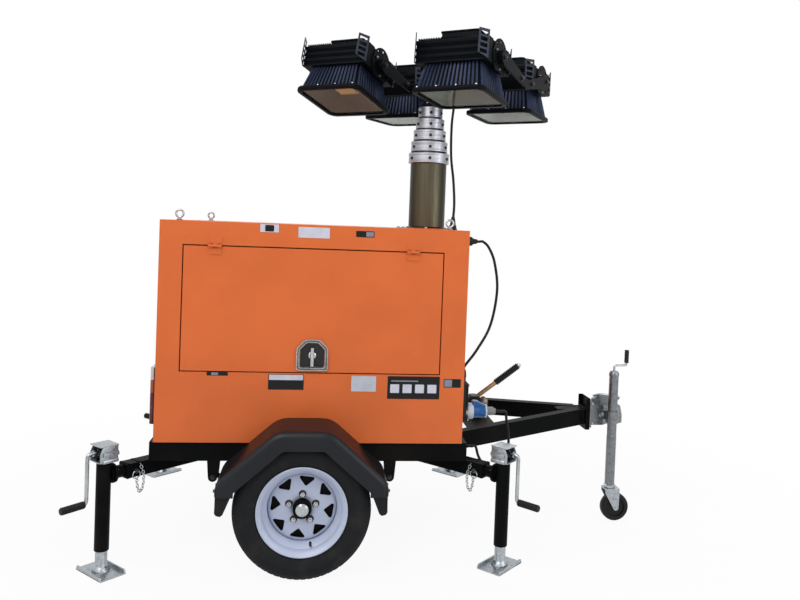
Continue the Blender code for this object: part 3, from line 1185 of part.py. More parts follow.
def main():
    """Builds every piece of the light tower."""
    clear_scene()
    black = finish("black_paint", (0.010, 0.010, 0.011), 0.40)
    orange = finish("orange_paint", (0.695, 0.150, 0.040), 0.35)
    white = finish("white_enamel", (0.80, 0.80, 0.80), 0.30)
    rubber = finish("tyre_rubber", (0.012, 0.012, 0.012), 0.80)
    zinc = finish("galvanised_steel", (0.55, 0.57, 0.60), 0.35, 1.0)
    mast_metal = finish("anodised_mast", (0.16, 0.15, 0.13), 0.35, 0.9)
    lamp_black = finish("lamp_aluminium", (0.012, 0.013, 0.016), 0.45, 0.3)
    glass = finish("lamp_glass", (0.50, 0.50, 0.46), 0.10)
    blue = finish("blue_plastic", (0.010, 0.10, 0.42), 0.35)
    red = finish("lamp_red", (0.35, 0.01, 0.01), 0.20)
    cable = finish("cable_black", (0.010, 0.010, 0.010), 0.55)

    place("chassis_frame", chassis_frame(), black)
    place("floor_plate", box((BOX_REAR + WALL + SEAT, -INNER_HALF_WIDTH, CHASSIS_TOP + SEAT),
                             (BOX_FRONT - WALL - SEAT, INNER_HALF_WIDTH, FLOOR_TOP)), black)
    place("axle", axle(), black, (0, 0, TYRE_RADIUS))
    place("drawbar", drawbar(), black)
    place("handbrake", handbrake(), black)
    place("coupling_head", coupling_head(), zinc)
    place("engine_block", box((ENGINE_REAR, -ENGINE_HALF_WIDTH, FLOOR_TOP + SEAT),
                              (ENGINE_FRONT, ENGINE_HALF_WIDTH, FLOOR_TOP + SEAT + ENGINE_HEIGHT)), black)
    for name, x, side, heading in JACKS:
        pivot = (x, side * JACK_Y, ARM_Z)
        place(f"outrigger_arm_{name}", outrigger_arm(x, side, heading), black)
        place(f"jack_{name}", moved(jack_body(), jack_frame(x, side, heading)), black, pivot)
        place(f"jack_leg_{name}", moved(jack_leg(), jack_frame(x, side, heading)), zinc, pivot)

    place("jockey_tube", jockey_tube(), zinc, (JOCKEY_X, JOCKEY_Y, JOCKEY_CLAMP_Z))
    place("jockey_fork", jockey_fork(), zinc, (JOCKEY_X, JOCKEY_Y, JOCKEY_TUBE_BOTTOM))
    place("jockey_wheel", jockey_wheel(), rubber, (JOCKEY_X + JOCKEY_TRAIL, JOCKEY_Y, JOCKEY_WHEEL_RADIUS))

    for name, side in SIDES:
        hub = (0, side * WHEEL_CENTRE_Y, TYRE_RADIUS)
        place(f"tyre_{name}", tyre(side), rubber, hub)
        place(f"wheel_{name}", rim(side), white, hub)
        place(f"mudguard_{name}", mudguard(side), black)
        place(f"side_panel_{name}", side_panel(side), orange)
        place(f"door_{name}", door(side), orange, (0, side * HINGE_Y, HINGE_Z))
        place(f"tail_lamp_{name}", tail_lamp(side), red)
    place("front_panel", front_panel(), orange)
    place("rear_panel", rear_panel(), orange)
    place("roof_panel", roof_panel(), orange)
    for name, x in EYEBOLTS:
        for side_name, side in SIDES:
            y = side * EYEBOLT_Y
            place(f"lifting_eye_{name}_{side_name}", lifting_eye(x, y), zinc, (x, y, BOX_TOP))
    place("power_inlet", power_inlet(), blue)

    for index in range(MAST_SECTIONS):
        name = "mast_base" if index == 0 else f"mast_section_{index + 1}"
        place(name, mast_section(index), mast_metal, (MAST_X, 0, COLLAR_FIRST_Z))
    place("lamp_frame", lamp_frame(), lamp_black, (MAST_X, 0, HEAD_Z))
    for name, along, across, tilt in LAMPS:
        matrix = lamp_matrix(along, across, tilt)
        place(f"lamp_{name}", moved(lamp_housing(), matrix), lamp_black, matrix.translation)
        place(f"lamp_glass_{name}", moved(lamp_glass(), matrix), glass, matrix.translation)

    place_cords(cable)


def place_cords(material):
    """The mast cable, the loop on the front face and the lead under the power plug."""
    drop = head_frame() @ Vector((CABLE_DROP_OFFSET, 0, CROSSBAR_BOTTOM - GLAND_LENGTH - SEAT))
    roof = Vector((ROOF_CABLE_X, ROOF_CABLE_Y, BOX_TOP + SEAT))
    place_cord("mast_cable", [
        *straight(drop, (0, 0, -1)), (0.657, -0.105, 1.940), (0.650, -0.165, 1.790), (0.654, -0.232, 1.670),
        (0.653, ROOF_CABLE_Y + 0.014, BOX_TOP + 0.125), *reversed(straight(roof, (0, 0, 1))),
    ], CABLE_DIAMETER, material)
    socket = Vector((BOX_FRONT + SOCKET_LENGTH + SEAT, SOCKET_Y, SOCKET_Z))
    strip_gland = Vector((BOX_FRONT + TERMINAL_DEPTH / 2, FITTING_Y, TERMINAL_TOP + GLAND_LENGTH + SEAT))
    loop = ((0.790, -0.002, 1.362), (0.818, -0.006, 1.295), (0.833, -0.012, 1.170), (0.806, -0.022, 1.015),
            (0.745, -0.038, 0.905))
    place_cord("front_cable", [
        *straight(socket, (1, 0, 0)), *((x, SOCKET_Y + y, z) for x, y, z in loop),
        *reversed(straight(strip_gland, (0, 0, 1))),
    ], CABLE_DIAMETER, material)
    plug = Vector((BOX_FRONT + TERMINAL_DEPTH + INLET_LENGTH + 2 * SEAT, FITTING_Y, INLET_Z))
    chassis_gland = Vector((CHASSIS_FRONT + GLAND_LENGTH / 2 + SEAT, CHASSIS_GLAND_Y, CHASSIS_GLAND_Z))
    hanging = ((0.892, 0.006, 0.595), (0.906, 0.016, 0.530), (0.910, 0.028, 0.465), (0.895, 0.040, 0.405),
               (0.855, 0.050, 0.372), (0.812, 0.055, 0.376), (0.782, 0.054, 0.415))
    place_cord("power_lead", [
        *straight(plug, (1, 0, -0.05)), *((x, FITTING_Y + y, z) for x, y, z in hanging),
        *reversed(straight(chassis_gland, (1, 0, -0.05))),
    ], CABLE_DIAMETER, material)


main()
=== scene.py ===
"""Looks of a mobile light tower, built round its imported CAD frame.

Sizes are metres from the road axle: +X forward to the hitch, +Y to the trailer's left, +Z up.
Part.add moves each finished piece along X into the frame's own place.
"""

from __future__ import annotations

import json
import logging
import math
from collections.abc import Iterable, Sequence
from dataclasses import dataclass
from enum import Enum

import bmesh
import bpy
from mathutils import Matrix, Vector

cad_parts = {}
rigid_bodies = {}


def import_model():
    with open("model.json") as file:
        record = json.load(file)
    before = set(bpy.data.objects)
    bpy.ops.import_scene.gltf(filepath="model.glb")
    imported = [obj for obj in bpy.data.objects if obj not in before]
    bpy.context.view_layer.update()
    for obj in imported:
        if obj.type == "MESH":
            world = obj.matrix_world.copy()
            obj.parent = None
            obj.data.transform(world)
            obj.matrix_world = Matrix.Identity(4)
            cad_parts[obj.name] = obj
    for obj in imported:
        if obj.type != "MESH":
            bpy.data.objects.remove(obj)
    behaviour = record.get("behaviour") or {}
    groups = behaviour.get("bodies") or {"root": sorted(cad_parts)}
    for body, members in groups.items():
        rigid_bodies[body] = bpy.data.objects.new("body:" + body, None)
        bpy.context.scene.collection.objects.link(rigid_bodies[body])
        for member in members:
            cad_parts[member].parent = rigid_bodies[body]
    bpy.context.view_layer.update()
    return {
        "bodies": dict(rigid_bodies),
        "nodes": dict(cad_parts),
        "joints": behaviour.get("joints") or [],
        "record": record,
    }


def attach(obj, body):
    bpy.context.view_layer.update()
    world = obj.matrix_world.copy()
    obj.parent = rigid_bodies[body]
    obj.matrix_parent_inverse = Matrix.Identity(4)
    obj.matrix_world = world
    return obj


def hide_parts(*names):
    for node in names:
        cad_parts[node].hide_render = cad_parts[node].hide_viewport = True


LOG = logging.getLogger("light_tower")
AXLE_X = -0.347471
MAST_X = 0.565
HEAD = Matrix.Translation((MAST_X, 0.0, 0.0)) @ Matrix.Rotation(math.radians(-34.0), 4, "Z")
LAMP_OFFSET = 0.300
LAMP_AXIS_Z = 2.200
ARM_Z = 0.3947
JACK_Y = 0.640
SIDES = (("right", -1), ("left", 1))
# Each corner jack's name, place along the trailer, side and heading in degrees.
JACKS = (("front_right", 0.850, -1, -45.0), ("front_left", 0.850, 1, 45.0),
         ("rear_right", -0.800, -1, -135.0), ("rear_left", -0.800, 1, 135.0))
# Each floodlight's name, place along and across the crossbar and tilt in degrees.
LAMPS = (("rear_right", -1, -1, 14.0), ("front_right", 1, -1, 5.0), ("front_left", 1, 1, -2.0),
         ("rear_left", -1, 1, 0.0))
Colour = tuple[float, float, float]
Point = tuple[float, float, float]
Outline = list[tuple[float, float]]
UP = (0.0, 0.0, 1.0)


class Tree:
    """A node tree in the making."""

    def __init__(self, tree: bpy.types.NodeTree) -> None:
        """Keeps the tree."""
        self.tree = tree

    def node(self, kind: str, inputs: dict[int | str, object] | None = None,
             **settings: object) -> bpy.types.Node:
        """Adds a node.

        Args:
            kind: Its type.
            inputs: What its sockets are joined or set to.
            settings: Its other settings, set before its sockets.

        Returns:
            The node.
        """
        node = self.tree.nodes.new(kind)
        for key, value in settings.items():
            setattr(node, key, value)
        for key, value in (inputs or {}).items():
            self.feed(node.inputs[key], value)
        return node

    def out(self, kind: str, inputs: dict[int | str, object] | None = None,
            **settings: object) -> bpy.types.NodeSocket:
        """The first output of a new node."""
        return self.node(kind, inputs, **settings).outputs[0]

    def feed(self, socket: bpy.types.NodeSocket, value: object) -> None:
        """Links or sets one socket.

        Args:
            socket: The socket.
            value: A signal, another socket, a colour, a vector or a number.
        """
        source = value.socket if isinstance(value, Signal) else value
        if isinstance(source, bpy.types.NodeSocket):
            self.tree.links.new(source, socket)
        elif isinstance(source, tuple) and socket.type == "RGBA":
            socket.default_value = (*source, 1.0)
        else:
            socket.default_value = source

    def maths(self, operation: str, first: object, second: object = 0.0) -> bpy.types.NodeSocket:
        """A Math node's result."""
        return self.out("ShaderNodeMath", {0: first, 1: second}, operation=operation)


class Signal:
    """A number that varies over a surface; arithmetic on it adds Math nodes."""

    def __init__(self, tree: Tree, socket: bpy.types.NodeSocket) -> None:
        """Wraps a socket of a tree."""
        self.tree = tree
        self.socket = socket

    def joined(self, operation: str, first: Signal | float, second: Signal | float = 0.0) -> Signal:
        """A Math node's result."""
        return Signal(self.tree, self.tree.maths(operation, first, second))

    def __add__(self, other: Signal | float) -> Signal:
        """The sum of two values."""
        return self.joined("ADD", self, other)

    def __sub__(self, other: Signal | float) -> Signal:
        """This value less the other."""
        return self.joined("SUBTRACT", self, other)

    def __rsub__(self, other: float) -> Signal:
        """The other value less this one."""
        return self.joined("SUBTRACT", other, self)

    def __mul__(self, other: Signal | float) -> Signal:
        """The product of two values."""
        return self.joined("MULTIPLY", self, other)

    def __pow__(self, other: float) -> Signal:
        """The value to a power."""
        return self.joined("POWER", self, other)

    __radd__ = __add__
    __rmul__ = __mul__

    def ramp(self, start: float, end: float, low: float = 0.0, high: float = 1.0) -> Signal:
        """Maps the value from one range to another.

        Args:
            start: The value that gives the low end.
            end: The value that gives the high end.
            low: The low end.
            high: The high end.

        Returns:
            The mapped value, smooth and clamped.
        """
        sockets = {0: self, 1: start, 2: end, 3: low, 4: high}
        mapped = self.tree.out("ShaderNodeMapRange", sockets, interpolation_type="SMOOTHSTEP", clamp=True)
        return Signal(self.tree, mapped)


class Graph(Tree):
    """A material's node tree with one Principled BSDF."""

    def __init__(self, name: str) -> None:
        """Makes an empty material.

        Args:
            name: The material's name.
        """
        self.material = bpy.data.materials.new(name)
        self.material.use_nodes = True
        super().__init__(self.material.node_tree)
        self.shader = self.tree.nodes["Principled BSDF"]
        self.place = self.node("ShaderNodeTexCoord").outputs["Object"]

    def stretched(self, scale: Point) -> bpy.types.NodeSocket:
        """Object coordinates, scaled by axis."""
        return self.out("ShaderNodeMapping", {"Vector": self.place, "Scale": scale})

    def noise(self, scale: float, detail: float = 2.0, stretch: Point = (1.0, 1.0, 1.0)) -> Signal:
        """Cloudy noise from 0 to 1."""
        sockets = {"Vector": self.stretched(stretch), "Scale": scale, "Detail": detail}
        return Signal(self, self.out("ShaderNodeTexNoise", sockets))

    def cells(self, scale: float) -> Signal:
        """A flat random value for each cell of a Voronoi pattern."""
        node = self.node("ShaderNodeTexVoronoi", {"Vector": self.stretched((1.0, 1.0, 1.0)), "Scale": scale})
        return Signal(self, self.out("ShaderNodeSeparateColor", {0: node.outputs["Color"]}))

    def axis(self, name: str) -> Signal:
        """One object coordinate."""
        return Signal(self, self.node("ShaderNodeSeparateXYZ", {0: self.place}).outputs[name])

    def mix(self, share: Signal, first: object, second: object) -> bpy.types.NodeSocket:
        """Mixes two colours."""
        sockets = {0: share, 6: first, 7: second}
        return self.node("ShaderNodeMix", sockets, data_type="RGBA", clamp_factor=True).outputs[2]

    def bump(self, height: Signal, depth: float) -> bpy.types.NodeSocket:
        """A normal from a height."""
        return self.out("ShaderNodeBump", {"Strength": 0.6, "Distance": depth, "Height": height})

    def finish(self, sockets: dict[str, object]) -> bpy.types.Material:
        """Sets the shader's sockets.

        Args:
            sockets: What goes into each socket.

        Returns:
            The material.
        """
        for name, value in sockets.items():
            self.feed(self.shader.inputs[name], value)
        return self.material


def scaled(colour: Colour, share: float) -> Colour:
    """A darker or lighter colour."""
    return tuple(value * share for value in colour)


@dataclass(frozen=True)
class Paint:
    """Sprayed or powder-coated steel.

    Fields: name, colour, roughness, specular level, clear coat weight, depth of the orange peel in
    metres, share of road dust low down and the dust's colour.
    """

    name: str
    colour: Colour
    roughness: float = 0.4
    shine: float = 0.5
    coat: float = 0.0
    peel: float = 0.00012
    dust: float = 0.3
    dust_colour: Colour = (0.16, 0.12, 0.08)

    def sockets(self, graph: Graph) -> dict[str, object]:
        """What goes into each socket of the shader.

        Args:
            graph: The material's tree.

        Returns:
            Each socket's name with its value.
        """
        cloud = graph.noise(3.5, 4.0)
        fine = graph.noise(60.0, 3.0)
        low = graph.axis("Z").ramp(0.75, 0.15, 0.15, 1.0)
        dusty = cloud.ramp(0.45, 0.80) * low * self.dust + fine.ramp(0.66, 0.86) * self.dust * 0.25
        darker = scaled(self.colour, 0.90)
        body = graph.mix(cloud.ramp(0.3, 0.7), darker, self.colour)
        return {
            "Base Color": graph.mix(dusty, body, self.dust_colour),
            "Roughness": self.roughness + dusty * 0.3 + (fine - 0.5) * 0.10,
            "Specular IOR Level": self.shine,
            "Coat Weight": self.coat,
            "Coat Roughness": 0.12,
            "Normal": graph.bump(graph.noise(650.0, 1.0), self.peel),
        }

    def material(self) -> bpy.types.Material:
        """The paint's material."""
        graph = Graph(self.name)
        return graph.finish(self.sockets(graph))


@dataclass(frozen=True)
class PanelPaint(Paint):
    """Paint on the front panel, whose fittings past a distance along X are black plastic.

    Fields: where the fittings begin, their colour and their roughness.
    """

    fitting_from: float = 0.3330
    fitting_colour: Colour = (0.012, 0.012, 0.012)
    fitting_roughness: float = 0.5

    def sockets(self, graph: Graph) -> dict[str, object]:
        """What goes into each socket of the shader.

        Args:
            graph: The material's tree.

        Returns:
            Each socket's name with its value.
        """
        made = super().sockets(graph)
        proud = graph.axis("X").ramp(self.fitting_from, self.fitting_from + 0.0002)
        made["Base Color"] = graph.mix(proud, made["Base Color"], self.fitting_colour)
        made["Roughness"] = made["Roughness"] * (1.0 - proud) + proud * self.fitting_roughness
        return made


@dataclass(frozen=True)
class Galvanised:
    """Hot-dip zinc with its spangle.

    Fields: name, colour, roughness, spangles to a metre and how strongly they differ.
    """

    name: str
    colour: Colour = (0.35, 0.38, 0.41)
    roughness: float = 0.30
    spangles: float = 210.0
    contrast: float = 0.34

    def material(self) -> bpy.types.Material:
        """The zinc's material.

        Returns:
            The material.
        """
        graph = Graph(self.name)
        spangle = graph.cells(self.spangles)
        stain = graph.noise(28.0, 4.0)
        dull = scaled(self.colour, 1.0 - self.contrast)
        metal = graph.mix(spangle, dull, self.colour)
        grey = graph.mix(stain.ramp(0.56, 0.74) * 0.45, metal, (0.17, 0.17, 0.16))
        return graph.finish({
            "Base Color": grey,
            "Metallic": 0.92 - stain.ramp(0.56, 0.74) * 0.25,
            "Roughness": self.roughness + spangle * 0.12 + stain.ramp(0.5, 0.8) * 0.15,
            "Normal": graph.bump(spangle * 0.3 + stain, 0.00015),
        })


class Grain(Enum):
    """Which way the marks run on bright metal."""

    CAST = (1.0, 1.0, 1.0)
    UPRIGHT = (1.0, 1.0, 0.03)
    ROUND = (0.04, 0.04, 1.0)


@dataclass(frozen=True)
class Metal:
    """Machined, plated or anodised metal.

    Fields: name, colour, colour of its darker marks, roughness, metallic value, direction of the
    grain, depth of the grain in metres, specular level and how strong the painted shade is where
    the surface turns away from view.
    """

    name: str
    colour: Colour
    marks: Colour
    roughness: float = 0.3
    metallic: float = 0.95
    grain: Grain = Grain.CAST
    depth: float = 0.00006
    shine: float = 0.5
    shade: float = 0.0

    def material(self) -> bpy.types.Material:
        """The metal's material.

        Returns:
            The material.
        """
        graph = Graph(self.name)
        streak = graph.noise(180.0, 4.0, self.grain.value)
        cloud = graph.noise(9.0, 3.0, self.grain.value)
        worn = streak.ramp(0.42, 0.72) * 0.6 + cloud.ramp(0.4, 0.7) * 0.4
        colour = graph.mix(worn, self.colour, self.marks)
        # Painted shade: where the surface turns away from view, the colour darkens towards 15 % of itself,
        # standing in for the shading of a lit round tube.
        if self.shade:
            away = Signal(graph, graph.node("ShaderNodeLayerWeight", {"Blend": 0.5}).outputs["Facing"])
            colour = graph.mix(away.ramp(0.02, 0.50) * self.shade, colour, scaled(self.colour, 0.15))
        return graph.finish({
            "Base Color": colour,
            "Metallic": self.metallic,
            "Roughness": self.roughness + streak.ramp(0.3, 0.8) * 0.14,
            "Specular IOR Level": self.shine,
            "Normal": graph.bump(streak, self.depth),
        })


@dataclass(frozen=True)
class Rubber:
    """Moulded rubber.

    Fields: name, colour, roughness, share of pale dust, depth of the grain in metres and specular level.
    """

    name: str
    colour: Colour = (0.014, 0.014, 0.015)
    roughness: float = 0.7
    dust: float = 0.35
    depth: float = 0.0003
    shine: float = 0.15

    def material(self) -> bpy.types.Material:
        """The rubber's material.

        Returns:
            The material.
        """
        graph = Graph(self.name)
        cloud = graph.noise(14.0, 5.0)
        fine = graph.noise(420.0, 2.0)
        dusty = cloud.ramp(0.48, 0.78) * self.dust
        return graph.finish({
            "Base Color": graph.mix(dusty, self.colour, (0.10, 0.085, 0.07)),
            "Roughness": self.roughness + dusty * 0.25 + (fine - 0.5) * 0.08,
            "Specular IOR Level": self.shine,
            "Normal": graph.bump(fine, self.depth),
        })


@dataclass(frozen=True)
class Plastic:
    """Moulded plastic with a faint texture.

    Fields: name, colour, roughness, depth of the texture in metres, clear coat weight and specular level.
    """

    name: str
    colour: Colour
    roughness: float = 0.35
    depth: float = 0.00008
    coat: float = 0.0
    shine: float = 0.3

    def material(self) -> bpy.types.Material:
        """The plastic's material.

        Returns:
            The material.
        """
        graph = Graph(self.name)
        cloud = graph.noise(22.0, 3.0)
        fine = graph.noise(900.0, 1.0)
        faded = tuple(value * 0.86 + 0.002 for value in self.colour)
        return graph.finish({
            "Base Color": graph.mix(cloud.ramp(0.35, 0.75), self.colour, faded),
            "Roughness": self.roughness + (cloud - 0.5) * 0.14,
            "Specular IOR Level": self.shine,
            "Coat Weight": self.coat,
            "Normal": graph.bump(fine, self.depth),
        })


@dataclass(frozen=True)
class Lens:
    """Clear or tinted glass or plastic that light passes through.

    Fields: name, colour, roughness, refraction, share that passes through and pitch of its flutes
    in metres, 0 for a plain pane.
    """

    name: str
    colour: Colour
    roughness: float = 0.04
    refraction: float = 1.45
    clear: float = 1.0
    flutes: float = 0.0

    def material(self) -> bpy.types.Material:
        """The lens's material.

        Returns:
            The material.
        """
        graph = Graph(self.name)
        film = graph.noise(18.0, 4.0)
        sockets: dict[str, object] = {
            "Base Color": graph.mix(film.ramp(0.55, 0.8) * 0.15, self.colour, (0.5, 0.48, 0.44)),
            "Roughness": self.roughness + film.ramp(0.5, 0.8) * 0.10,
            "IOR": self.refraction,
            "Transmission Weight": self.clear,
        }
        if self.flutes:
            wave = graph.axis("Z") * (math.tau / self.flutes)
            fluted = wave.joined("SINE", wave)
            sockets["Normal"] = graph.bump(fluted * 0.5 + 0.5, 0.0006)
        return graph.finish(sockets)


@dataclass(frozen=True)
class LedArray:
    """Yellow phosphor dots of a floodlight's LED board.

    Fields: name, the dots' colour, the board's colour and dots to a metre.
    """

    name: str
    colour: Colour = (0.78, 0.60, 0.12)
    board: Colour = (0.62, 0.44, 0.22)
    dots: float = 85.0

    def material(self) -> bpy.types.Material:
        """The board's material.

        Returns:
            The material.
        """
        graph = Graph(self.name)
        sockets = {"Vector": graph.place, "Scale": self.dots, "Randomness": 0.15}
        distance = graph.node("ShaderNodeTexVoronoi", sockets).outputs["Distance"]
        dot = Signal(graph, distance).ramp(0.42, 0.30)
        return graph.finish({
            "Base Color": graph.mix(dot, self.board, self.colour),
            "Roughness": 0.55 - dot * 0.25,
            "Normal": graph.bump(dot, 0.0006),
        })


Look = Paint | Galvanised | Metal | Rubber | Plastic | Lens | LedArray


class Finish:
    """The finishes of this light tower."""

    ORANGE = Paint("orange_powder_coat", (0.700, 0.146, 0.034), 0.40, 0.25, 0.05, dust=0.10,
                   dust_colour=(0.50, 0.15, 0.06))
    FRONT = PanelPaint("orange_front", (0.700, 0.146, 0.034), 0.40, 0.25, 0.05, dust=0.10,
                       dust_colour=(0.50, 0.15, 0.06))
    BLACK = Paint("black_chassis_paint", (0.0034, 0.0037, 0.0040), 0.45, 0.04, dust=0.08)
    # Black paint with a blue tint that is a painted reflection of the sky along its faces.
    GUARD = Paint("black_mudguard_painted_blue_sheen", (0.0060, 0.0082, 0.0115), 0.36, 0.26, 0.0, 0.0002, 0.16,
                  (0.10, 0.07, 0.05))
    ENGINE = Paint("black_engine", (0.010, 0.010, 0.010), 0.6, 0.2, dust=0.3)
    ENAMEL = Paint("white_wheel_enamel", (0.52, 0.57, 0.72), 0.30, 0.4, 0.10, 0.0001, 0.30,
                   (0.26, 0.25, 0.27))
    DRUM = Metal("brake_drum_iron", (0.006, 0.006, 0.006), (0.014, 0.009, 0.006), 0.6, 0.2, shine=0.1)
    ZINC = Galvanised("galvanised_steel", (0.46, 0.50, 0.53))
    CAST_ZINC = Galvanised("galvanised_coupling", (0.24, 0.255, 0.27), 0.28, 160.0, 0.35)
    PLATED = Metal("bright_zinc_plate", (0.50, 0.52, 0.54), (0.26, 0.27, 0.28), 0.18, 1.0)
    # Chrome darkened to stand in for the dark surroundings that it reflects: a painted reflection.
    LATCH = Metal("latch_chrome_painted_dark_reflection", (0.20, 0.21, 0.215), (0.05, 0.055, 0.06), 0.16, 1.0)
    CHROME = Metal("chrome_plate", (0.56, 0.57, 0.56), (0.30, 0.30, 0.29), 0.12, 1.0)
    BRONZE = Metal("passivated_steel", (0.42, 0.29, 0.16), (0.20, 0.13, 0.07), 0.30, 0.95)
    # The mast tube's last value, 0.85, is the strength of its painted shade where it turns away from view.
    MAST = Metal("anodised_mast_tube", (0.118, 0.102, 0.068), (0.085, 0.073, 0.050), 0.34, 0.90,
                 Grain.UPRIGHT, 0.00002, 0.2, 0.85)
    # The collar's shade value is the strength of its painted shade where it turns away from view.
    COLLAR = Metal("mast_collar_aluminium", (0.52, 0.53, 0.58), (0.34, 0.34, 0.36), 0.32, 0.92, Grain.ROUND,
                   shade=0.38)
    BOLT = Metal("dark_bolt", (0.030, 0.030, 0.033), (0.06, 0.05, 0.04), 0.38, 0.85)
    LAMP = Metal("black_anodised_lamp", (0.0026, 0.0034, 0.0048), (0.0045, 0.0055, 0.0075), 0.45, 0.0,
                 shine=0.05)
    # Painted reflection: the ribs are the lamp's black anodised metal, made lighter and blue to stand in for
    # the sky seen in them.
    RIB_PAINTED_SKY_REFLECTION = Metal("rib_painted_sky_reflection", (0.0300, 0.0415, 0.0820), (0.0140, 0.0195, 0.0390), 0.40, 0.30,
                     shine=0.15)
    BRACKET = Metal("lamp_bracket", (0.034, 0.042, 0.064), (0.020, 0.024, 0.036), 0.38, 0.40, shine=0.2)
    REFLECTOR = Metal("satin_reflector", (0.150, 0.163, 0.146), (0.095, 0.104, 0.092), 0.30, 0.35, shine=0.3)
    LED = LedArray("led_board")
    GLASS = Lens("toughened_glass", (0.86, 0.90, 0.86), 0.02, 1.04)
    TYRE = Rubber("road_tyre_rubber", (0.0105, 0.0110, 0.0125), dust=0.14)
    GRIP = Rubber("ribbed_grip_rubber", (0.0085, 0.0085, 0.0100), 0.55, 0.08, 0.0002, 0.25)
    FLAP = Rubber("mud_flap_rubber", (0.0110, 0.0115, 0.0130), 0.65, 0.15)
    BLACK_PLASTIC = Plastic("black_plastic", (0.0075, 0.0075, 0.0085), 0.45, shine=0.2)
    BLUE_PLASTIC = Plastic("blue_plastic", (0.008, 0.085, 0.275), 0.28, coat=0.10)
    PALE_PLASTIC = Plastic("pale_grey_plastic", (0.50, 0.53, 0.58), 0.40)
    GREY_PLASTIC = Plastic("grey_plastic", (0.20, 0.20, 0.20), 0.40)
    CLEAR_LENS = Lens("clear_lens", (0.72, 0.72, 0.74), 0.12, clear=0.35, flutes=0.008)
    AMBER_LENS = Lens("amber_lens", (0.42, 0.09, 0.02), 0.10, clear=0.30, flutes=0.008)
    RED_LENS = Lens("red_lens", (0.11, 0.004, 0.005), 0.10, clear=0.25, flutes=0.008)
    WHITE_PLATE = Plastic("white_label_plate", (0.60, 0.60, 0.68), 0.35, 0.00002)
    PALE_PLATE = Plastic("pale_label_plate", (0.50, 0.52, 0.58), 0.40, 0.00002)
    GREY_PLATE = Plastic("grey_label_plate", (0.22, 0.24, 0.30), 0.40, 0.00002)
    BLACK_PLATE = Plastic("black_label_plate", (0.0075, 0.0075, 0.0085), 0.30, 0.00002, shine=0.2)
    CABLE = Plastic("cable_sheath", (0.0075, 0.0075, 0.0085), 0.42, 0.00006, shine=0.2)


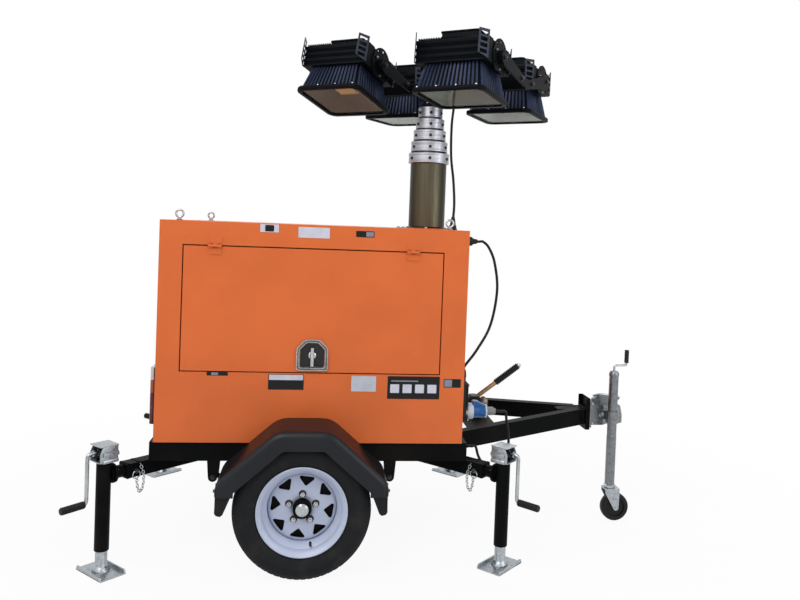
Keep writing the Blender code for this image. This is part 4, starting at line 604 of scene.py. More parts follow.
class Form:
    """A mesh in the making; each method adds a closed shell to it or works on all of them."""

    def __init__(self) -> None:
        """Starts with no faces."""
        self.mesh = bmesh.new()

    def loft(self, rings: Sequence[Sequence[Point]], closed: bool = False,
             matrix: Matrix | None = None) -> Form:
        """Adds a skin through rings of equally many points.

        Args:
            rings: The rings, in order.
            closed: Whether the last ring joins the first; otherwise both ends get a cap.
            matrix: Where the shell goes.

        Returns:
            This form.
        """
        count = len(rings[0])
        place = matrix or Matrix.Identity(4)
        points = [[self.mesh.verts.new(place @ Vector(point)) for point in ring] for ring in rings]
        faces = []
        for span in range(len(rings) if closed else len(rings) - 1):
            near, far = points[span], points[(span + 1) % len(rings)]
            for step in range(count):
                after = (step + 1) % count
                faces.append(self.mesh.faces.new((near[step], near[after], far[after], far[step])))
        if not closed:
            faces += [self.mesh.faces.new(points[0]), self.mesh.faces.new(points[-1])]
        corners = list({corner for face in faces for corner in face.verts})
        bmesh.ops.remove_doubles(self.mesh, verts=corners, dist=1e-7)
        bmesh.ops.recalc_face_normals(self.mesh, faces=[face for face in faces if face.is_valid])
        return self

    def prism(self, outline: Outline, axis: str, start: float, end: float,
              matrix: Matrix | None = None) -> Form:
        """Adds an outline pushed along an axis.

        Args:
            outline: Its points in the other two axes, in the order X, Y, Z.
            axis: The axis.
            start: Where it begins.
            end: Where it ends.
            matrix: Where the shell goes.

        Returns:
            This form.
        """
        order = {"X": (2, 0, 1), "Y": (0, 2, 1), "Z": (0, 1, 2)}[axis]
        rings = [[tuple((a, b, c)[index] for index in order) for a, b in outline] for c in (start, end)]
        return self.loft(rings, False, matrix)

    def block(self, low: Point, high: Point, matrix: Matrix | None = None) -> Form:
        """Adds a block between two corners."""
        plan = [(low[0], low[1]), (high[0], low[1]), (high[0], high[1]), (low[0], high[1])]
        return self.prism(plan, "Z", low[2], high[2], matrix)

    def turned(self, profile: Outline, segments: int = 64, matrix: Matrix | None = None) -> Form:
        """Adds a profile turned about Z.

        Args:
            profile: Its points, each a radius and a height; the last joins the first.
            segments: Steps round the turn.
            matrix: Where the shell goes.

        Returns:
            This form.
        """
        rings = []
        for step in range(segments):
            angle = math.tau * step / segments
            rings.append([(r * math.cos(angle), r * math.sin(angle), z) for r, z in profile])
        return self.loft(rings, True, matrix)

    def rod(self, radius: float, length: float, segments: int = 48, matrix: Matrix | None = None) -> Form:
        """Adds a round bar that stands on the X-Y plane."""
        return self.turned([(0, 0), (radius, 0), (radius, length), (0, length)], segments, matrix)

    def swept(self, route: Sequence[Point], radius: float, sides: int = 12,
              matrix: Matrix | None = None) -> Form:
        """Adds a round bar along a route.

        Args:
            route: Its centreline.
            radius: Its radius.
            sides: Its sides.
            matrix: Where the shell goes.

        Returns:
            This form.
        """
        points = [Vector(point) for point in route]
        headings = [(b - a).normalized() for a, b in zip(points, points[1:])]
        headings = [headings[0], *((a + b).normalized() for a, b in zip(headings, headings[1:])),
                    headings[-1]]
        side = headings[0].orthogonal().normalized()
        rings = []
        for point, heading in zip(points, headings):
            side = (side - heading * side.dot(heading)).normalized()
            up = heading.cross(side)
            turns = [math.tau * step / sides for step in range(sides)]
            rings.append([point + radius * (math.cos(t) * side + math.sin(t) * up) for t in turns])
        return self.loft(rings, False, matrix)

    def bevelled(self, width: float, steps: int = 2, angle: float = 40.0) -> Form:
        """Rounds the sharp edges.

        Args:
            width: The rounding's width.
            steps: Its steps.
            angle: The least angle of a sharp edge, in degrees.

        Returns:
            This form.
        """
        limit = math.radians(angle)
        sharp = [edge for edge in self.mesh.edges if edge.is_manifold and edge.calc_face_angle(0.0) > limit]
        bmesh.ops.bevel(self.mesh, geom=sharp, offset=width, segments=steps, profile=0.6, affect="EDGES",
                        clamp_overlap=True)
        return self

    def cut(self, tool: Form) -> Form:
        """Takes another form out of this one.

        Args:
            tool: The form to take out; it is used up.

        Returns:
            This form.
        """
        solids = []
        for label, form in (("body", self), ("tool", tool)):
            solid = bpy.data.objects.new(label, bpy.data.meshes.new(label))
            form.mesh.to_mesh(solid.data)
            bpy.context.scene.collection.objects.link(solid)
            solids.append(solid)
        modifier = solids[0].modifiers.new("cut", "BOOLEAN")
        modifier.operation = "DIFFERENCE"
        modifier.solver = "EXACT"
        modifier.use_self = True
        modifier.object = solids[1]
        result = solids[0].evaluated_get(bpy.context.evaluated_depsgraph_get())
        fresh = bmesh.new()
        fresh.from_mesh(result.to_mesh())
        result.to_mesh_clear()
        for solid in solids:
            data = solid.data
            bpy.data.objects.remove(solid, do_unlink=True)
            bpy.data.meshes.remove(data)
        self.mesh.free()
        tool.mesh.free()
        bmesh.ops.dissolve_degenerate(fresh, edges=fresh.edges, dist=1e-6)
        self.mesh = fresh
        return self

    def moved(self, matrix: Matrix) -> Form:
        """Puts the whole form through a matrix.

        Args:
            matrix: The matrix.

        Returns:
            This form.
        """
        bmesh.ops.transform(self.mesh, matrix=matrix, verts=self.mesh.verts)
        if matrix.determinant() < 0:
            bmesh.ops.reverse_faces(self.mesh, faces=self.mesh.faces)
        return self

    def absorbed(self, data: bpy.types.Mesh, matrix: Matrix | None = None) -> Form:
        """Adds a finished mesh to the form.

        Args:
            data: The mesh; it is used up.
            matrix: Where it goes.

        Returns:
            This form.
        """
        data.transform(matrix or Matrix.Identity(4))
        self.mesh.from_mesh(data)
        bpy.data.meshes.remove(data)
        return self

    def data(self, name: str) -> bpy.types.Mesh:
        """The form as a mesh with smooth faces and sharp creases.

        Args:
            name: The mesh's name.

        Returns:
            The mesh.
        """
        data = bpy.data.meshes.new(name)
        self.mesh.to_mesh(data)
        self.mesh.free()
        data.shade_smooth()
        data.set_sharp_from_angle(angle=math.radians(38))
        return data


def at(x: float, y: float, z: float) -> Matrix:
    """A shift."""
    return Matrix.Translation((x, y, z))


def spin(degrees: float, axis: str = "Z") -> Matrix:
    """A turn about an axis."""
    return Matrix.Rotation(math.radians(degrees), 4, axis)


def facing(start: Point, direction: Point) -> Matrix:
    """A matrix that takes Z to a direction."""
    return at(*start) @ Vector(direction).to_track_quat("Z", "Y").to_matrix().to_4x4()


def mm(*points: tuple[float, float]) -> Outline:
    """An outline given in millimetres."""
    return [(a / 1000, b / 1000) for a, b in points]


def raised(outline: Outline, height: float) -> Outline:
    """An outline with its second coordinate raised."""
    return [(a, b + height) for a, b in outline]


def level(outline: Outline, height: float) -> list[Point]:
    """An outline laid flat at a height."""
    return [(x, y, height) for x, y in outline]


def mirrored(half: Outline) -> Outline:
    """An outline followed by its mirror image below the first axis."""
    return half + [(a, -b) for a, b in reversed(half)]


def arc(centre: tuple[float, float], radius: float, start: float, end: float, steps: int) -> Outline:
    """Points on an arc, from one angle in degrees to another."""
    turns = [math.radians(start + (end - start) * step / steps) for step in range(steps + 1)]
    return [(centre[0] + radius * math.cos(t), centre[1] + radius * math.sin(t)) for t in turns]


def around(radius: float, count: int, start: float = 0.0, pitch: float | None = None) -> Outline:
    """Points round a circle, from an angle in degrees and a pitch apart, evenly if none is given."""
    turns = [math.radians(start + (pitch or 360 / count) * step) for step in range(count)]
    return [(radius * math.cos(t), radius * math.sin(t)) for t in turns]


def rounded(length: float, width: float, radius: float, steps: int = 5,
            centre: tuple[float, float] = (0.0, 0.0)) -> Outline:
    """A rectangle with round corners.

    Args:
        length: Its size along the first axis.
        width: Its size along the second axis.
        radius: Its corners' radius.
        steps: Steps round a corner.
        centre: Its middle.

    Returns:
        Its outline.
    """
    x, y = length / 2 - radius, width / 2 - radius
    outline: Outline = []
    for corner, (cx, cy) in enumerate(((x, y), (-x, y), (-x, -y), (x, -y))):
        outline += arc((cx, cy), radius, 90 * corner, 90 * corner + 90, steps)
    return [(centre[0] + a, centre[1] + b) for a, b in outline]


def corner_curve(before: Vector, corner: Vector, after: Vector, radius: float, steps: int) -> list[Vector]:
    """A rounded corner between two neighbours.

    Args:
        before: The point before the corner.
        corner: The corner.
        after: The point after it.
        radius: How far from the corner the curve begins and ends.
        steps: Steps along the curve.

    Returns:
        The curve's points.
    """
    first = corner + (before - corner).normalized() * min(radius, (before - corner).length / 2)
    last = corner + (after - corner).normalized() * min(radius, (after - corner).length / 2)
    shares = [step / steps for step in range(steps + 1)]
    return [first * (1 - t) ** 2 + corner * 2 * t * (1 - t) + last * t**2 for t in shares]


def bent(corners: Sequence[Point], radius: float, steps: int = 5) -> list[Vector]:
    """A route through corners.

    Args:
        corners: Its corners.
        radius: How far from a corner its bend begins.
        steps: Steps round a bend.

    Returns:
        The route.
    """
    points = [Vector(corner) for corner in corners]
    route = [points[0]]
    for before, corner, after in zip(points, points[1:], points[2:]):
        route += corner_curve(before, corner, after, radius, steps)
    return [*route, points[-1]]


def curved(knots: Sequence[Point], steps: int = 8) -> list[Vector]:
    """A smooth curve through points.

    Args:
        knots: The points.
        steps: Steps from one to the next.

    Returns:
        The curve.
    """
    points = [Vector(knot) for knot in knots]
    points = [2 * points[0] - points[1], *points, 2 * points[-1] - points[-2]]
    route = []
    for before, start, end, after in zip(points, points[1:], points[2:], points[3:]):
        for t in (step / steps for step in range(steps)):
            route.append(0.5 * (2 * start + (end - before) * t
                                + (2 * before - 5 * start + 4 * end - after) * t**2
                                + (3 * start - before - 3 * end + after) * t**3))
    return [*route, points[-2]]


def points_mesh(places: Iterable[tuple[Point, Point]]) -> bpy.types.Mesh:
    """A mesh of loose points that each face a way.

    Args:
        places: Each point and its way.

    Returns:
        The mesh.
    """
    pairs = list(places)
    data = bpy.data.meshes.new("points")
    data.from_pydata([tuple(point) for point, _ in pairs], [], [])
    attribute = data.attributes.new("facing", "FLOAT_VECTOR", "POINT")
    attribute.data.foreach_set("vector", [value for _, way in pairs for value in way])
    return data


def route_mesh(route: Sequence[Point]) -> bpy.types.Mesh:
    """A mesh of one chain of edges.

    Args:
        route: The chain's points.

    Returns:
        The mesh.
    """
    data = bpy.data.meshes.new("route")
    data.from_pydata([tuple(point) for point in route], [(i, i + 1) for i in range(len(route) - 1)], [])
    return data


class Recipe(Tree):
    """A Geometry Nodes tree with named inputs; run turns its result into a plain mesh."""

    def __init__(self, name: str, sizes: dict[str, float | int]) -> None:
        """Makes the tree's interface.

        Args:
            name: The tree's name.
            sizes: The named inputs with their usual values.
        """
        super().__init__(bpy.data.node_groups.new(name, "GeometryNodeTree"))
        interface = self.tree.interface
        interface.new_socket("Geometry", in_out="INPUT", socket_type="NodeSocketGeometry")
        for label, value in sizes.items():
            kind = "NodeSocketInt" if isinstance(value, int) else "NodeSocketFloat"
            interface.new_socket(label, in_out="INPUT", socket_type=kind).default_value = value
        interface.new_socket("Finish", in_out="INPUT", socket_type="NodeSocketMaterial")
        interface.new_socket("Geometry", in_out="OUTPUT", socket_type="NodeSocketGeometry")
        self.given = self.tree.nodes.new("NodeGroupInput").outputs

    def blend(self, share: object, first: object, second: object) -> bpy.types.NodeSocket:
        """A value between two others."""
        return self.out("ShaderNodeMix", {0: share, 2: first, 3: second}, data_type="FLOAT")

    def vector(self, x: object, y: object, z: object) -> bpy.types.NodeSocket:
        """A vector from three values or sockets."""
        return self.out("ShaderNodeCombineXYZ", {0: x, 1: y, 2: z})

    def circle(self, sides: object, radius: object) -> bpy.types.NodeSocket:
        """A circle as a curve."""
        return self.out("GeometryNodeCurvePrimitiveCircle", {"Resolution": sides, "Radius": radius})

    def tube(self, path: bpy.types.NodeSocket, section: bpy.types.NodeSocket) -> bpy.types.NodeSocket:
        """A section swept along a path, with its ends closed."""
        return self.out("GeometryNodeCurveToMesh", {"Curve": path, "Profile Curve": section,
                                                    "Fill Caps": True})

    def aligned(self, axis: str, way: bpy.types.NodeSocket, **settings: object) -> bpy.types.NodeSocket:
        """The turn that takes an axis to a way."""
        return self.out("FunctionNodeAlignRotationToVector", {"Vector": way}, axis=axis, **settings)

    def close(self, points: bpy.types.NodeSocket, solid: bpy.types.NodeSocket,
              turn: object = None) -> Recipe:
        """Ends the tree with a copy of a solid on each point.

        Args:
            points: The points.
            solid: The solid.
            turn: The turn of each copy, if any.

        Returns:
            This recipe.
        """
        sockets = {"Points": points, "Instance": solid}
        if turn is not None:
            sockets["Rotation"] = turn
        return self.end(self.out("GeometryNodeInstanceOnPoints", sockets))

    def end(self, geometry: bpy.types.NodeSocket) -> Recipe:
        """Ends the tree in Realize Instances and Set Material.

        Args:
            geometry: What the tree has made.

        Returns:
            This recipe.
        """
        real = self.out("GeometryNodeRealizeInstances", {0: geometry})
        dressed = self.out("GeometryNodeSetMaterial", {"Geometry": real, "Material": self.given["Finish"]})
        self.tree.links.new(dressed, self.tree.nodes.new("NodeGroupOutput").inputs[0])
        return self

    def run(self, base: bpy.types.Mesh | None = None, **sizes: float) -> bpy.types.Mesh:
        """Runs the tree on a mesh.

        Args:
            base: The mesh that goes in, if the tree needs one; it is used up.
            sizes: Values for the named inputs that differ, with _ for a space in a name.

        Returns:
            The result.
        """
        base = base or bpy.data.meshes.new("none")
        item = bpy.data.objects.new("workpiece", base)
        modifier = item.modifiers.new("recipe", "NODES")
        modifier.node_group = self.tree
        sockets = {part.name: part for part in self.tree.interface.items_tree if part.in_out == "INPUT"}
        for label, value in sizes.items():
            modifier[sockets[label.replace("_", " ").capitalize()].identifier] = value
        bpy.context.scene.collection.objects.link(item)
        graph = bpy.context.evaluated_depsgraph_get()
        result = bpy.data.meshes.new_from_object(item.evaluated_get(graph), depsgraph=graph)
        result.materials.clear()
        bpy.data.objects.remove(item, do_unlink=True)
        bpy.data.meshes.remove(base)
        return result


def bolt_recipe() -> Recipe:
    """Bolt heads on washers, one at each point, along its facing.

    Returns:
        The recipe.
    """
    recipe = Recipe("bolt_heads", {"Head radius": 0.008, "Head height": 0.006, "Sides": 6,
                                   "Washer radius": 0.010, "Washer height": 0.0015})
    given = recipe.given
    joined = recipe.node("GeometryNodeJoinGeometry")
    for sides, radius, top_share, height, lift in (
            (given["Sides"], given["Head radius"], 0.93, given["Head height"], given["Washer height"]),
            (16, given["Washer radius"], 1.0, given["Washer height"], 0.0)):
        top = recipe.maths("MULTIPLY", radius, top_share)
        cone = recipe.out("GeometryNodeMeshCone", {"Vertices": sides, "Radius Top": top,
                                                   "Radius Bottom": radius, "Depth": height})
        shift = recipe.vector(0.0, 0.0, lift)
        lifted = recipe.out("GeometryNodeTransform", {"Geometry": cone, "Translation": shift})
        recipe.tree.links.new(lifted, joined.inputs[0])
    way = recipe.out("GeometryNodeInputNamedAttribute", {"Name": "facing"}, data_type="FLOAT_VECTOR")
    return recipe.close(given["Geometry"], joined.outputs[0], recipe.aligned("Z", way))


def ring_recipe() -> Recipe:
    """Round ridges at even steps along a route.

    Returns:
        The recipe.
    """
    recipe = Recipe("ridges", {"Count": 12, "Radius": 0.013, "Wire": 0.0016, "Sides": 20})
    given = recipe.given
    path = recipe.out("GeometryNodeMeshToCurve", {0: given["Geometry"]})
    steps = recipe.out("GeometryNodeResampleCurve", {"Curve": path, "Count": given["Count"]})
    ring = recipe.tube(recipe.circle(given["Sides"], given["Radius"]), recipe.circle(6, given["Wire"]))
    return recipe.close(steps, ring, recipe.aligned("Z", recipe.out("GeometryNodeInputTangent")))


def chain_recipe() -> Recipe:
    """Round-wire links along a route, each turned a quarter from the last.

    Returns:
        The recipe.
    """
    recipe = Recipe("chain_links", {"Pitch": 0.012, "Wire": 0.0016, "Length": 0.017, "Breadth": 0.011})
    given = recipe.given
    path = recipe.out("GeometryNodeMeshToCurve", {0: given["Geometry"]})
    steps = recipe.node("GeometryNodeCurveToPoints", {"Curve": path, "Length": given["Pitch"]},
                        mode="LENGTH")
    size = recipe.vector(given["Length"], given["Breadth"], 1.0)
    shape = recipe.out("GeometryNodeTransform", {"Geometry": recipe.circle(12, 0.5), "Scale": size})
    link = recipe.tube(shape, recipe.circle(6, given["Wire"]))
    roll = recipe.maths("MULTIPLY", recipe.out("GeometryNodeInputIndex"), math.pi / 2)
    quarter = recipe.out("FunctionNodeAxisAngleToRotation", {"Axis": (1.0, 0.0, 0.0), "Angle": roll})
    aligned = recipe.aligned("X", steps.outputs["Tangent"])
    rolled = recipe.out("FunctionNodeRotateRotation", {0: aligned, 1: quarter}, rotation_space="LOCAL")
    return recipe.close(steps.outputs[0], link, rolled)


def fin_recipe() -> Recipe:
    """Upright fins in a row along X, standing on the X-Y plane.

    Returns:
        The recipe.
    """
    recipe = Recipe("cooling_fins", {"Count": 22, "Pitch": 0.015, "Thickness": 0.003, "Depth": 0.25,
                                     "Height": 0.02})
    given = recipe.given
    span = recipe.maths("MULTIPLY", given["Pitch"], recipe.maths("SUBTRACT", given["Count"], 1.0))
    start = recipe.vector(recipe.maths("MULTIPLY", span, -0.5), 0.0,
                          recipe.maths("MULTIPLY", given["Height"], 0.5))
    offset = recipe.vector(given["Pitch"], 0.0, 0.0)
    row = recipe.out("GeometryNodeMeshLine", {"Count": given["Count"], "Start Location": start,
                                              "Offset": offset}, mode="OFFSET")
    size = recipe.vector(given["Thickness"], given["Depth"], given["Height"])
    return recipe.close(row, recipe.out("GeometryNodeMeshCube", {"Size": size}))


def rib_recipe() -> Recipe:
    """Ribs up a sloping face that looks to -Y: they fan from its foot to its narrower crown.

    Returns:
        The recipe.
    """
    recipe = Recipe("face_ribs", {"Count": 15, "Foot half": 0.14, "Crown half": 0.12, "Foot out": 0.155,
                                  "Crown out": 0.118, "Foot height": -0.162, "Crown height": -0.046,
                                  "Rib width": 0.008, "Rib depth": 0.008})
    given = recipe.given
    grid = recipe.out("GeometryNodeMeshGrid", {"Size X": 2.0, "Size Y": 1.0, "Vertices X": given["Count"],
                                               "Vertices Y": 2})
    ends = recipe.node("GeometryNodeInputMeshEdgeVertices").outputs
    rise = recipe.out("ShaderNodeVectorMath", {0: ends[2], 1: ends[3]}, operation="SUBTRACT")
    across = recipe.maths("ABSOLUTE", recipe.out("ShaderNodeSeparateXYZ", {0: rise}))
    lying = recipe.out("FunctionNodeCompare", {0: across, 1: 0.001}, data_type="FLOAT",
                       operation="GREATER_THAN")
    uprights = recipe.out("GeometryNodeDeleteGeometry", {"Geometry": grid, "Selection": lying},
                          domain="EDGE", mode="EDGE_FACE")
    place = recipe.node("ShaderNodeSeparateXYZ", {0: recipe.out("GeometryNodeInputPosition")}).outputs
    share = recipe.maths("ADD", place[1], 0.5)
    half, out, height = (recipe.blend(share, given[f"Foot {size}"], given[f"Crown {size}"])
                         for size in ("half", "out", "height"))
    target = recipe.vector(recipe.maths("MULTIPLY", place[0], half), recipe.maths("MULTIPLY", out, -1.0),
                           height)
    fanned = recipe.out("GeometryNodeSetPosition", {"Geometry": uprights, "Position": target})
    lines = recipe.out("GeometryNodeMeshToCurve", {0: fanned})
    sizes = {"Width": given["Rib width"], "Height": given["Rib depth"]}
    return recipe.end(recipe.tube(lines, recipe.out("GeometryNodeCurvePrimitiveQuadrilateral", sizes)))


def tread_recipe() -> Recipe:
    """Blocks round a circle in the X-Y plane, each with its breadth along Z.

    Returns:
        The recipe.
    """
    recipe = Recipe("tread_blocks", {"Count": 60, "Radius": 0.27, "Length": 0.018, "Breadth": 0.02,
                                     "Depth": 0.008})
    given = recipe.given
    circle = recipe.out("GeometryNodeMeshCircle", {"Vertices": given["Count"], "Radius": given["Radius"]})
    size = recipe.vector(given["Depth"], given["Length"], given["Breadth"])
    outward = recipe.aligned("X", recipe.out("GeometryNodeInputPosition"), pivot_axis="Z")
    return recipe.close(circle, recipe.out("GeometryNodeMeshCube", {"Size": size}), outward)


class Workshop:
    """Holds the frame, the materials and the recipes, and makes what many parts need."""

    def __init__(self, frame: dict[str, object]) -> None:
        """Keeps the frame and makes the recipes.
        """
        self.frame = frame
        self.materials: dict[Look, bpy.types.Material] = {}
        self.bolts = bolt_recipe()
        self.rings = ring_recipe()
        self.chain = chain_recipe()
        self.fins = fin_recipe()
        self.ribs = rib_recipe()
        self.tread = tread_recipe()

    def material(self, finish: Look) -> bpy.types.Material:
        """The material of a finish, made once.

        Args:
            finish: The finish.

        Returns:
            Its material.
        """
        if finish not in self.materials:
            self.materials[finish] = finish.material()
        return self.materials[finish]

    def dress(self, finish: Look, *nodes: str, bevel: float = 0.0) -> None:
        """Gives CAD nodes a finish and rounds their edges.

        Args:
            finish: The finish.
            nodes: The nodes' names.
            bevel: The width of the rounding in metres, 0 for none.
        """
        for name in nodes:
            node = self.frame["nodes"][name]
            node.data.materials.clear()
            node.data.materials.append(self.material(finish))
            if bevel:
                weld = node.modifiers.new("weld", "WELD")
                weld.merge_threshold = 1e-5
                round_off = node.modifiers.new("bevel", "BEVEL")
                round_off.width = bevel
                round_off.segments = 2
                round_off.limit_method = "ANGLE"
                round_off.angle_limit = math.radians(40)
                round_off.use_clamp_overlap = True

    def bolt_form(self, places: Iterable[tuple[Point, Point]], radius: float, height: float,
                  washer: float = 1.35, sides: int = 6) -> Form:
        """Bolt heads on washers.

        Args:
            places: Each bolt's place and the way that it faces.
            radius: A head's radius.
            height: A head's height.
            washer: The washer's radius over the head's.
            sides: Sides of a head.

        Returns:
            The form.
        """
        return Form().absorbed(self.bolts.run(points_mesh(places), head_radius=radius, head_height=height,
                                              sides=sides, washer_radius=radius * washer,
                                              washer_height=0.0015))

    def grip_form(self, start: Point, end: Point, radius: float, ridges: int) -> Form:
        """A ribbed hand grip.

        Args:
            start: Its first end.
            end: Its last end.
            radius: Its radius.
            ridges: How many ridges it has.

        Returns:
            The form.
        """
        a, b = Vector(start), Vector(end)
        length = (b - a).length
        way = (b - a).normalized()
        wire = min(0.45 * length / ridges, radius * 0.16)
        profile = [(0, 0), (radius * 0.86, 0), (radius - wire, wire), (radius - wire, length - wire),
                   (radius * 0.80, length), (0, length)]
        line = route_mesh([a + way * wire * 2, b - way * wire * 2])
        ridge_mesh = self.rings.run(line, count=ridges, radius=radius - wire, wire=wire, sides=28)
        return Form().turned(profile, 32, facing(a, way)).absorbed(ridge_mesh)


@dataclass
class Part:
    """A sub-assembly; its pieces ride on one body unless another is named.

    Fields: the workshop. Besides, a kind of part may set its body, the ending of its pieces' names and
    the place of the frame that it is made in.
    """

    shop: Workshop

    body = "root"
    ending = ""
    place = Matrix.Identity(4)

    def add(self, name: str, form: Form, finish: Look, node: str = "", slot: str = "",
            body: str = "") -> bpy.types.Object:
        """Puts a form in the scene as one piece.

        Args:
            name: The piece's name without the ending.
            form: Its shape; it is used up.
            finish: Its finish.
            node: The CAD node that it replaces, without the ending, if any.
            slot: Its material slot, if it has one; not used.
            body: The body that it rides on, if it isn't the part's.

        Returns:
            The piece.
        """
        data = form.moved(Matrix.Translation((AXLE_X, 0.0, 0.0)) @ self.place).data(name + self.ending)
        data.materials.append(self.shop.material(finish))
        piece = bpy.data.objects.new(name + self.ending, data)
        bpy.context.scene.collection.objects.link(piece)
        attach(piece, body or self.body)
        if node:
            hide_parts(node + self.ending)
        return piece


@dataclass
class RoadWheel(Part):
    """A pressed steel road wheel with its tyre, drum and nuts.

    Fields: side of the trailer and its name, tyre radius, wheel centre's distance from the middle,
    disc face's distance outside the wheel's middle, stud circle's radius, number of windows in the
    disc and the share of a window's pitch that they are turned.
    """

    name: str
    side: int
    radius: float = 0.2805
    centre_y: float = 0.6915
    face: float = 0.010
    stud_circle: float = 0.05715
    windows: int = 8
    turned: float = 0.83

    def __post_init__(self) -> None:
        """Sets the body and the wheel's own frame, +Z outwards."""
        self.body, self.ending = f"road_wheel_{self.name}", f"_{self.name}"
        self.place = at(0.0, self.side * self.centre_y, self.radius) @ spin(-90 * self.side, "X")

    def tyre(self) -> Form:
        """The tyre with its grooves and shoulder blocks.

        Returns:
            The form.
        """
        half = mm((166.2, 56), (176, 61.5), (184.5, 66.5), (189.5, 71.2), (192.5, 71.2), (200, 76.2),
                  (212, 81.5), (222, 84), (224.5, 85.2), (227.5, 85.2), (229.5, 84.2), (242, 83.6),
                  (251, 80.8), (259, 76.8), (265.5, 72.2), (271.2, 66.8), (275.5, 60.5), (278.4, 54),
                  (279.5, 47), (280, 40), (273.5, 39), (273.5, 33.5), (280.2, 32.5), (280.5, 15.5),
                  (273.8, 14.5), (273.8, 8.5), (280.5, 7.5))
        form = Form().turned(mirrored(half), 96)
        for height in (-0.056, 0.056):
            blocks = self.shop.tread.run(count=62, radius=0.2694, length=0.02, breadth=0.016, depth=0.0115)
            form.absorbed(blocks, at(0, 0, height))
        return form

    def rim(self) -> Form:
        """The barrel and the disc with its windows.

        Returns:
            The form.
        """
        outer = mm((182.2, 75.2), (184.2, 73.5), (184.3, 71.2), (182.5, 69), (177, 67.2), (170, 63),
                   (165.7, 56), (164.5, 40), (151, 29), (146.2, 22))
        inner = mm((179.5, 75.2), (176.8, 72.2), (169, 67.2), (162.5, 60), (160, 52), (159.5, 40.5),
                   (146.5, 27), (142, 19))
        profile = [*mirrored(outer), *((r, -z) for r, z in inner), *reversed(inner)]
        disc = raised(mm((0, -4), (36, -4), (41, -3), (47, 1.5), (52, 3), (74, 3), (81, 2), (90, -1.5),
                         (110, -3), (126, -4.5), (135, -8), (140.5, -15), (143, -24), (140.5, -26.5),
                         (134, -20), (127, -11), (110, -8.5), (90, -7), (81, -4), (40, -10), (0, -10)),
                      self.face)
        tool = Form()
        outline = [*arc((0.0955, 0.0), 0.0066, 235, 125, 5), *arc((0.12, 0.023), 0.0072, 125, 5, 5),
                   *arc((0.12, -0.023), 0.0072, -5, -125, 5)]
        for step in range(self.windows):
            turn = spin(360 * (step + self.turned) / self.windows)
            tool.prism(outline, "Z", self.face - 0.04, self.face + 0.04, turn)
        plate = Form().turned(disc, 96).cut(tool)
        return Form().turned(profile, 96).absorbed(plate.data("disc"))

    def build(self) -> None:
        """Adds the wheel's pieces."""
        face = self.face
        self.add("road_tyre", self.tyre(), Finish.TYRE, "tyre", "tyre")
        self.add("pressed_rim", self.rim(), Finish.ENAMEL, "wheel", "wheel_enamel")
        drum = mm((16.5, -58), (125, -58), (125, -26), (141.2, -24), (141.2, -18.5), (128, -17.5),
                  (112, -10), (30, -1), (16.5, -1))
        self.add("brake_drum", Form().turned(drum, 64), Finish.DRUM)
        hub = mm((0, -3), (38.5, -3), (38.5, 27), (35, 34), (0, 34))
        self.add("hub", Form().turned(raised(hub, face), 48).bevelled(0.0012), Finish.BLACK)
        cap = mm((0, 33), (26.2, 33), (26.2, 37.2), (22.8, 39.2), (22.4, 42.5), (19.5, 44.8), (0, 45.5))
        self.add("dust_cap", Form().turned(raised(cap, face), 40), Finish.PLATED)
        spots = [((x, y, face + 0.003), UP) for x, y in around(self.stud_circle, 5, 90)]
        self.add("nut_seats", self.shop.bolt_form(spots, 0.0155, 0.0008, 1.0, 24), Finish.BOLT)
        nuts = self.shop.bolt_form(spots, 0.0112, 0.0135, 1.15)
        for (x, y, z), _ in spots:
            nuts.turned(mm((0, 12), (5.5, 12), (5.5, 18.5), (4.2, 20), (0, 20)), 16, at(x, y, z))
        self.add("wheel_nuts", nuts, Finish.PLATED)
        x, y = around(0.150, 1, -75)[0]
        valve = Form().swept([(x, y, 0.022), (x * 0.985, y * 0.985, 0.046)], 0.0048, 14)
        valve.turned(mm((0, 20), (8.5, 20), (6.5, 28), (0, 28)), 20, at(x, y, 0))
        self.add("valve", valve, Finish.BLACK_PLASTIC)


